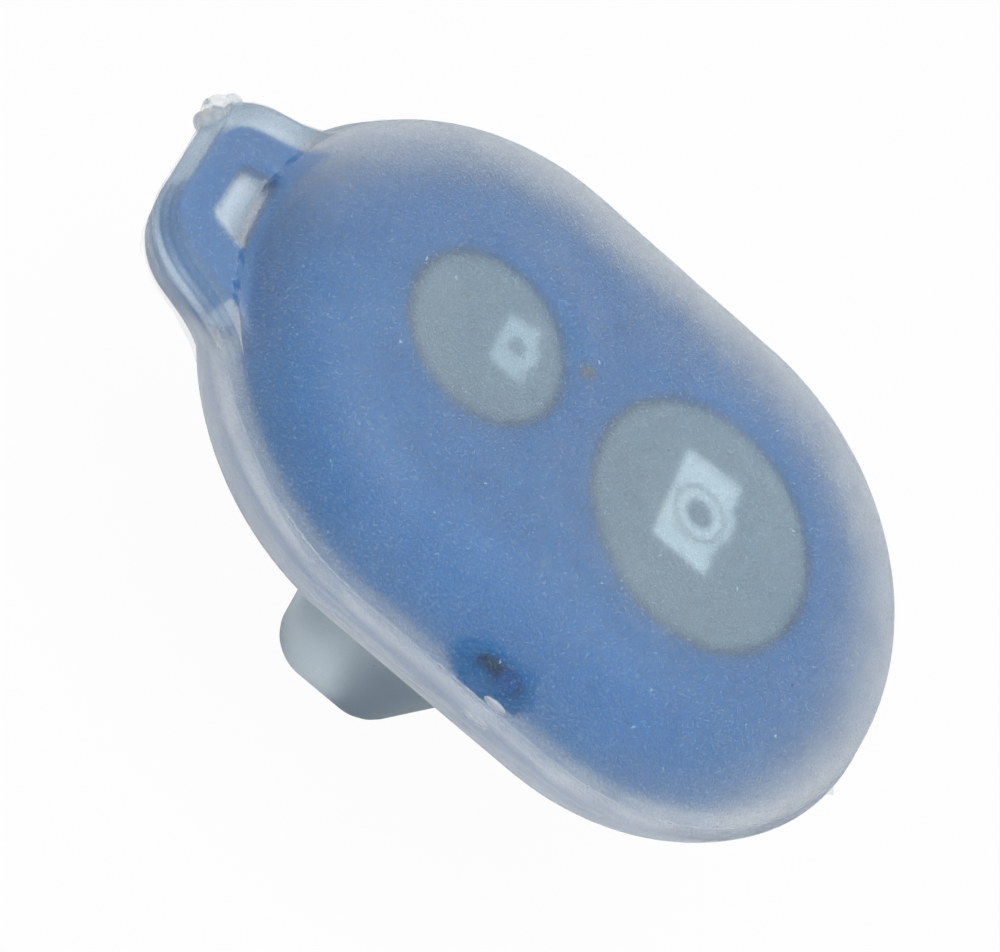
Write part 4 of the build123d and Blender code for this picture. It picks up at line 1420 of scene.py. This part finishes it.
@dataclass(frozen=True)
class Metal:
    """Plated or bare metal, brushed by a drawn-out noise and spotted by age."""

    name: str
    colour: Colour
    aged: Colour
    roughness: float = 0.3
    scale: float = 500.0

    def make(self, effects: Effects) -> bpy.types.Material:
        """Build the material."""
        m = Material(self.name)
        cloud = m.effect(effects.mottle, Scale=self.scale, Warp=1.0, Contrast=1.0)
        scratch = m.effect(effects.scratches, Scale=260.0, Width=0.01, Turn=0.2)
        grain = m.effect(effects.grain, Scale=4000.0)
        relief = m.math("SUBTRACT", grain, scratch)
        return m.principled({
            "Base Color": m.blend(m.math("MULTIPLY", cloud, 0.5), self.colour, self.aged), "Metallic": 1.0,
            "Roughness": m.ramp(cloud, 0.0, 1.0, self.roughness - 0.08, self.roughness + 0.12),
            "Normal": m.bump(relief, 0.01),
        })


@dataclass(frozen=True)
class Ink:
    """Pale print on the caps, thin enough for the grain to show, with a small mark left out of it."""

    name: str = "pale_ink"
    colour: Colour = (0.74, 0.87, 0.86)
    worn: Colour = (0.64, 0.78, 0.79)
    ground: Colour = (0.2, 0.29, 0.33)
    marks: tuple[Triple, ...] = ((9.0, -1.3, 0.4), (-6.75, -0.75, 0.25))

    def make(self, effects: Effects) -> bpy.types.Material:
        """Build the material."""
        m = Material(self.name)
        cloud = m.effect(effects.mottle, Scale=900.0, Warp=1.0, Contrast=0.9)
        colour = m.blend(cloud, self.colour, self.worn)
        for x, y, size in self.marks:
            spot = m.near((x, y, 26.0), (size * 1.4, size, 40.0))
            colour = m.blend(m.math("MULTIPLY", spot, 0.6), colour, self.ground)
        grain = m.effect(effects.grain, Scale=3500.0)
        return m.principled({
            "Base Color": colour, "Roughness": 0.5, "Specular IOR Level": 0.2,
            "Normal": m.bump(grain, 0.01),
        })


@dataclass(frozen=True)
class BoardLacquer:
    """Green solder mask over copper tracks that shine through as paler stripes."""

    mask: Colour = (0.015, 0.16, 0.06)
    track: Colour = (0.05, 0.3, 0.1)

    def make(self, effects: Effects) -> bpy.types.Material:
        """Build the material: tracks follow the cell borders of a square-metric cell pattern."""
        m = Material("board_lacquer")
        cells = {"Vector": m.place, "Scale": 420.0, "Randomness": 0.7}
        second, first = (
            m.node("TexVoronoi", cells, distance="MANHATTAN", feature=feature).outputs["Distance"]
            for feature in ("F2", "F1")
        )
        gap = m.math("SUBTRACT", second, first)
        track = m.ramp(gap, 0.16, 0.10)
        cloud = m.effect(effects.mottle, Scale=500.0)
        colour = m.blend(track, self.mask, self.track)
        colour = m.blend(m.math("MULTIPLY", cloud, 0.3), colour, (0.01, 0.1, 0.04))
        return m.principled({
            "Base Color": colour, "Roughness": m.ramp(cloud, 0.0, 1.0, 0.3, 0.42),
            "Normal": m.bump(track, 0.03),
        })


@dataclass(frozen=True)
class ClearPlastic:
    """Window of the lamp: clear plastic, faintly clouded."""

    tint: Colour = (0.92, 0.95, 0.97)

    def make(self, effects: Effects) -> bpy.types.Material:
        """Build the material."""
        m = Material("clear_window")
        cloud = m.effect(effects.mottle, Scale=800.0)
        skin = m.node("BsdfPrincipled", {
            "Base Color": m.blend(cloud, self.tint, (0.8, 0.85, 0.9)), "IOR": 1.49,
            "Transmission Weight": 0.9, "Roughness": m.ramp(cloud, 0.0, 1.0, 0.05, 0.3),
        })
        return Silicone().with_shadow(m, skin.outputs[0])


BLUE = Plastic("blue_case", (0.002, 0.14, 0.385), (0.004, 0.168, 0.435), roughness=0.4, specular=0.1)
GREY = Plastic("grey_cap", (0.2, 0.29, 0.33), (0.25, 0.34, 0.38), roughness=0.55, specular=0.2)
BLACK = Plastic("black_plastic", (0.012, 0.012, 0.014), (0.03, 0.03, 0.033), roughness=0.45, specular=0.4)
KNOB = Plastic("dark_blue_knob", (0.003, 0.1, 0.36), (0.006, 0.13, 0.42), roughness=0.4, specular=0.2)
IVORY = Plastic("ivory_plastic", (0.72, 0.66, 0.52), (0.62, 0.56, 0.44), roughness=0.4, specular=0.4)
STEEL = Metal("plated_steel", (0.6, 0.6, 0.58), (0.42, 0.41, 0.38))
COPPER = Metal("copper_foil", (0.72, 0.36, 0.2), (0.45, 0.2, 0.1), roughness=0.35)


@dataclass
class Remote:
    """The case, caps and everything inside, dressed by the record's slots."""

    finishes: dict[str, object] = field(default_factory=lambda: {
        "blue_case": BLUE, "grey_cap": GREY, "black_plastic": BLACK, "ivory_plastic": IVORY,
        "plated_steel": STEEL, "copper_foil": COPPER, "green_board": BoardLacquer(),
        "clear_plastic": ClearPlastic(),
    })
    soft: tuple[str, ...] = ("cover_front", "cover_back", "seam_glue")
    knob: str = "slide_switch_knob"

    def dress(self, effects: Effects) -> None:
        """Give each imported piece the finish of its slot."""
        made = {slot: finish.make(effects) for slot, finish in self.finishes.items()}
        knob = KNOB.make(effects)
        slots = slot_of_nodes(frame["record"])
        for name, node in frame["nodes"].items():
            if name in self.soft:
                continue
            node.data.materials.clear()
            node.data.materials.append(knob if name == self.knob else made[slots[name]])
        dressed = len(frame["nodes"]) - len(self.soft)
        LOG.info("dressed %d packed pieces in %d finishes", dressed, len(made))


def slot_of_nodes(record: dict) -> dict[str, str]:
    """Material slot of each node, as the record lists them."""
    return {row["node"]: row["material_slot"] for row in record["subparts"]}


@dataclass(frozen=True)
class Lamp:
    """Round white area lamp."""

    name: str
    place: Triple
    size: float
    power: float


@dataclass(frozen=True)
class Studio:
    """Plain pale floor, two soft lamps, an even sky and the camera at the photograph's angle."""

    place: Triple = (-0.075578, -0.188417, 0.225692)
    right: Triple = (0.73177, 0.35556, 0.58146)
    up: Triple = (-0.63257, 0.67191, 0.38522)
    back: Triple = (-0.25372, -0.6497, 0.7166)
    lens: float = 176.82
    sensor: float = 36.0
    floor_half: float = 3.0
    floor_grey: float = 0.9
    floor_cloud: float = 0.98
    floor_white: float = 0.96
    sky: float = 0.45
    lamps: tuple[Lamp, ...] = (
        Lamp("overhead", (-0.05, -0.02, 0.62), size=0.5, power=1.4),
        Lamp("side", (0.3, -0.55, 0.3), size=0.4, power=0.7),
    )
    lamp_target: Triple = (0.0, 0.0, 0.02)

    def link(self, name: str, data: bpy.types.ID) -> bpy.types.Object:
        """Put data into the scene as an object."""
        made = bpy.data.objects.new(name, data)
        bpy.context.scene.collection.objects.link(made)
        return made

    def camera(self) -> None:
        """Camera whose three axes and place come from the fit to the photograph."""
        data = bpy.data.cameras.new("camera")
        data.lens = self.lens
        data.sensor_width = self.sensor
        data.clip_start = 0.01
        data.clip_end = 10.0
        made = self.link("camera", data)
        axes = np.eye(4)
        axes[:3] = np.array([self.right, self.up, self.back, self.place]).T
        made.matrix_world = Matrix(axes.tolist())
        bpy.context.scene.camera = made

    def light(self, lamp: Lamp) -> None:
        """Add a lamp that looks at the object's middle."""
        data = bpy.data.lights.new(lamp.name, "AREA")
        data.shape = "DISK"
        data.size = lamp.size
        data.energy = lamp.power
        data.color = WHITE
        made = self.link(lamp.name, data)
        towards = Vector(self.lamp_target) - Vector(lamp.place)
        turn = towards.to_track_quat("-Z", "Y").to_matrix().to_4x4()
        made.matrix_world = Matrix.Translation(lamp.place) @ turn

    def world(self) -> None:
        """Even white sky."""
        world = bpy.data.worlds.new("studio")
        world.use_nodes = True
        sky = world.node_tree.nodes["Background"]
        sky.inputs["Color"].default_value = rgba(WHITE)
        sky.inputs["Strength"].default_value = self.sky
        bpy.context.scene.world = world

    def floor(self) -> None:
        """Pale paper that takes shadows and looks white to the camera and through the skin."""
        half, grey = self.floor_half, self.floor_grey
        corners = [(x * half, y * half, 0) for x, y in ((-1, -1), (1, -1), (1, 1), (-1, 1))]
        mesh = bpy.data.meshes.new("floor")
        mesh.from_pydata(corners, [], [range(4)])
        m = Material("paper_floor")
        cloud = m.node("TexNoise", {"Vector": m.place, "Scale": 30.0}).outputs[0]
        colour = m.blend(cloud, (grey,) * 3, (grey * self.floor_cloud,) * 3)
        paper = m.node("BsdfDiffuse", {"Color": colour})
        glow = m.node("Emission", {"Color": rgba(WHITE), "Strength": 1.0})
        path = m.node("LightPath")
        seen = m.math("MAXIMUM", path.outputs["Is Camera Ray"], path.outputs["Is Glossy Ray"])
        seen = m.math("MAXIMUM", seen, path.outputs["Is Transmission Ray"])
        share = m.math("MULTIPLY", seen, self.floor_white)
        mix = m.node("MixShader", {0: share, 1: paper.outputs[0], 2: glow.outputs[0]})
        mesh.materials.append(m.finish(mix.outputs[0]))
        self.link("floor", mesh)

    def build(self) -> None:
        """Set up the studio."""
        self.camera()
        for lamp in self.lamps:
            self.light(lamp)
        self.world()
        self.floor()
        LOG.info("studio ready")


def dress_skin(skin: Skin, effects: Effects) -> None:
    """Build the skin and the dust on it in their finishes."""
    silicone = Silicone()
    # Painted light on the loop: a milkier copy of the silicone, bluer and brighter, standing in for light
    # on the case's side beneath.
    milky = replace(silicone, transmission=0.79, clean=(0.7, 0.85, 0.98), cloudy=(0.62, 0.8, 0.96))
    # Painted shade on the block: a greyer, darker copy of the silicone, partly for its thickness and
    # partly the shade under the body.
    thick_shaded = replace(
        silicone, transmission=0.95, clean=(0.26, 0.35, 0.42), cloudy=(0.32, 0.41, 0.48),
        chalk=(0.36, 0.45, 0.52), sheen=0.0, specular=0.1,
    )
    skin.build([
        silicone.outside(effects, "frosted_silicone"), silicone.inside(effects),
        milky.outside(effects, "milky_lit_silicone"), silicone.contact(effects),
        thick_shaded.outside(effects, "thick_shaded_silicone"),
    ])
    skin.bloom([silicone.bloom(effects), silicone.veil(effects)])


def main() -> None:
    """Build the object's pieces in order and report each."""
    logging.basicConfig(level=logging.INFO, format="%(name)s: %(message)s")
    bpy.context.scene.view_settings.view_transform = "Standard"
    Studio().build()
    effects = Effects()
    Remote().dress(effects)
    skin = Skin()
    dress_skin(skin, effects)
    glue = Glue()
    SeamGlue(skin).build(glue.lip(effects), glue.film(effects), glue.lump(effects))
    LARGE_SIGN.build(Ink().make(effects))
    SMALL_SIGN.build(Ink("thin_ink", (0.56, 0.69, 0.7), (0.48, 0.62, 0.65)).make(effects))


if __name__ == "__main__":
    main()
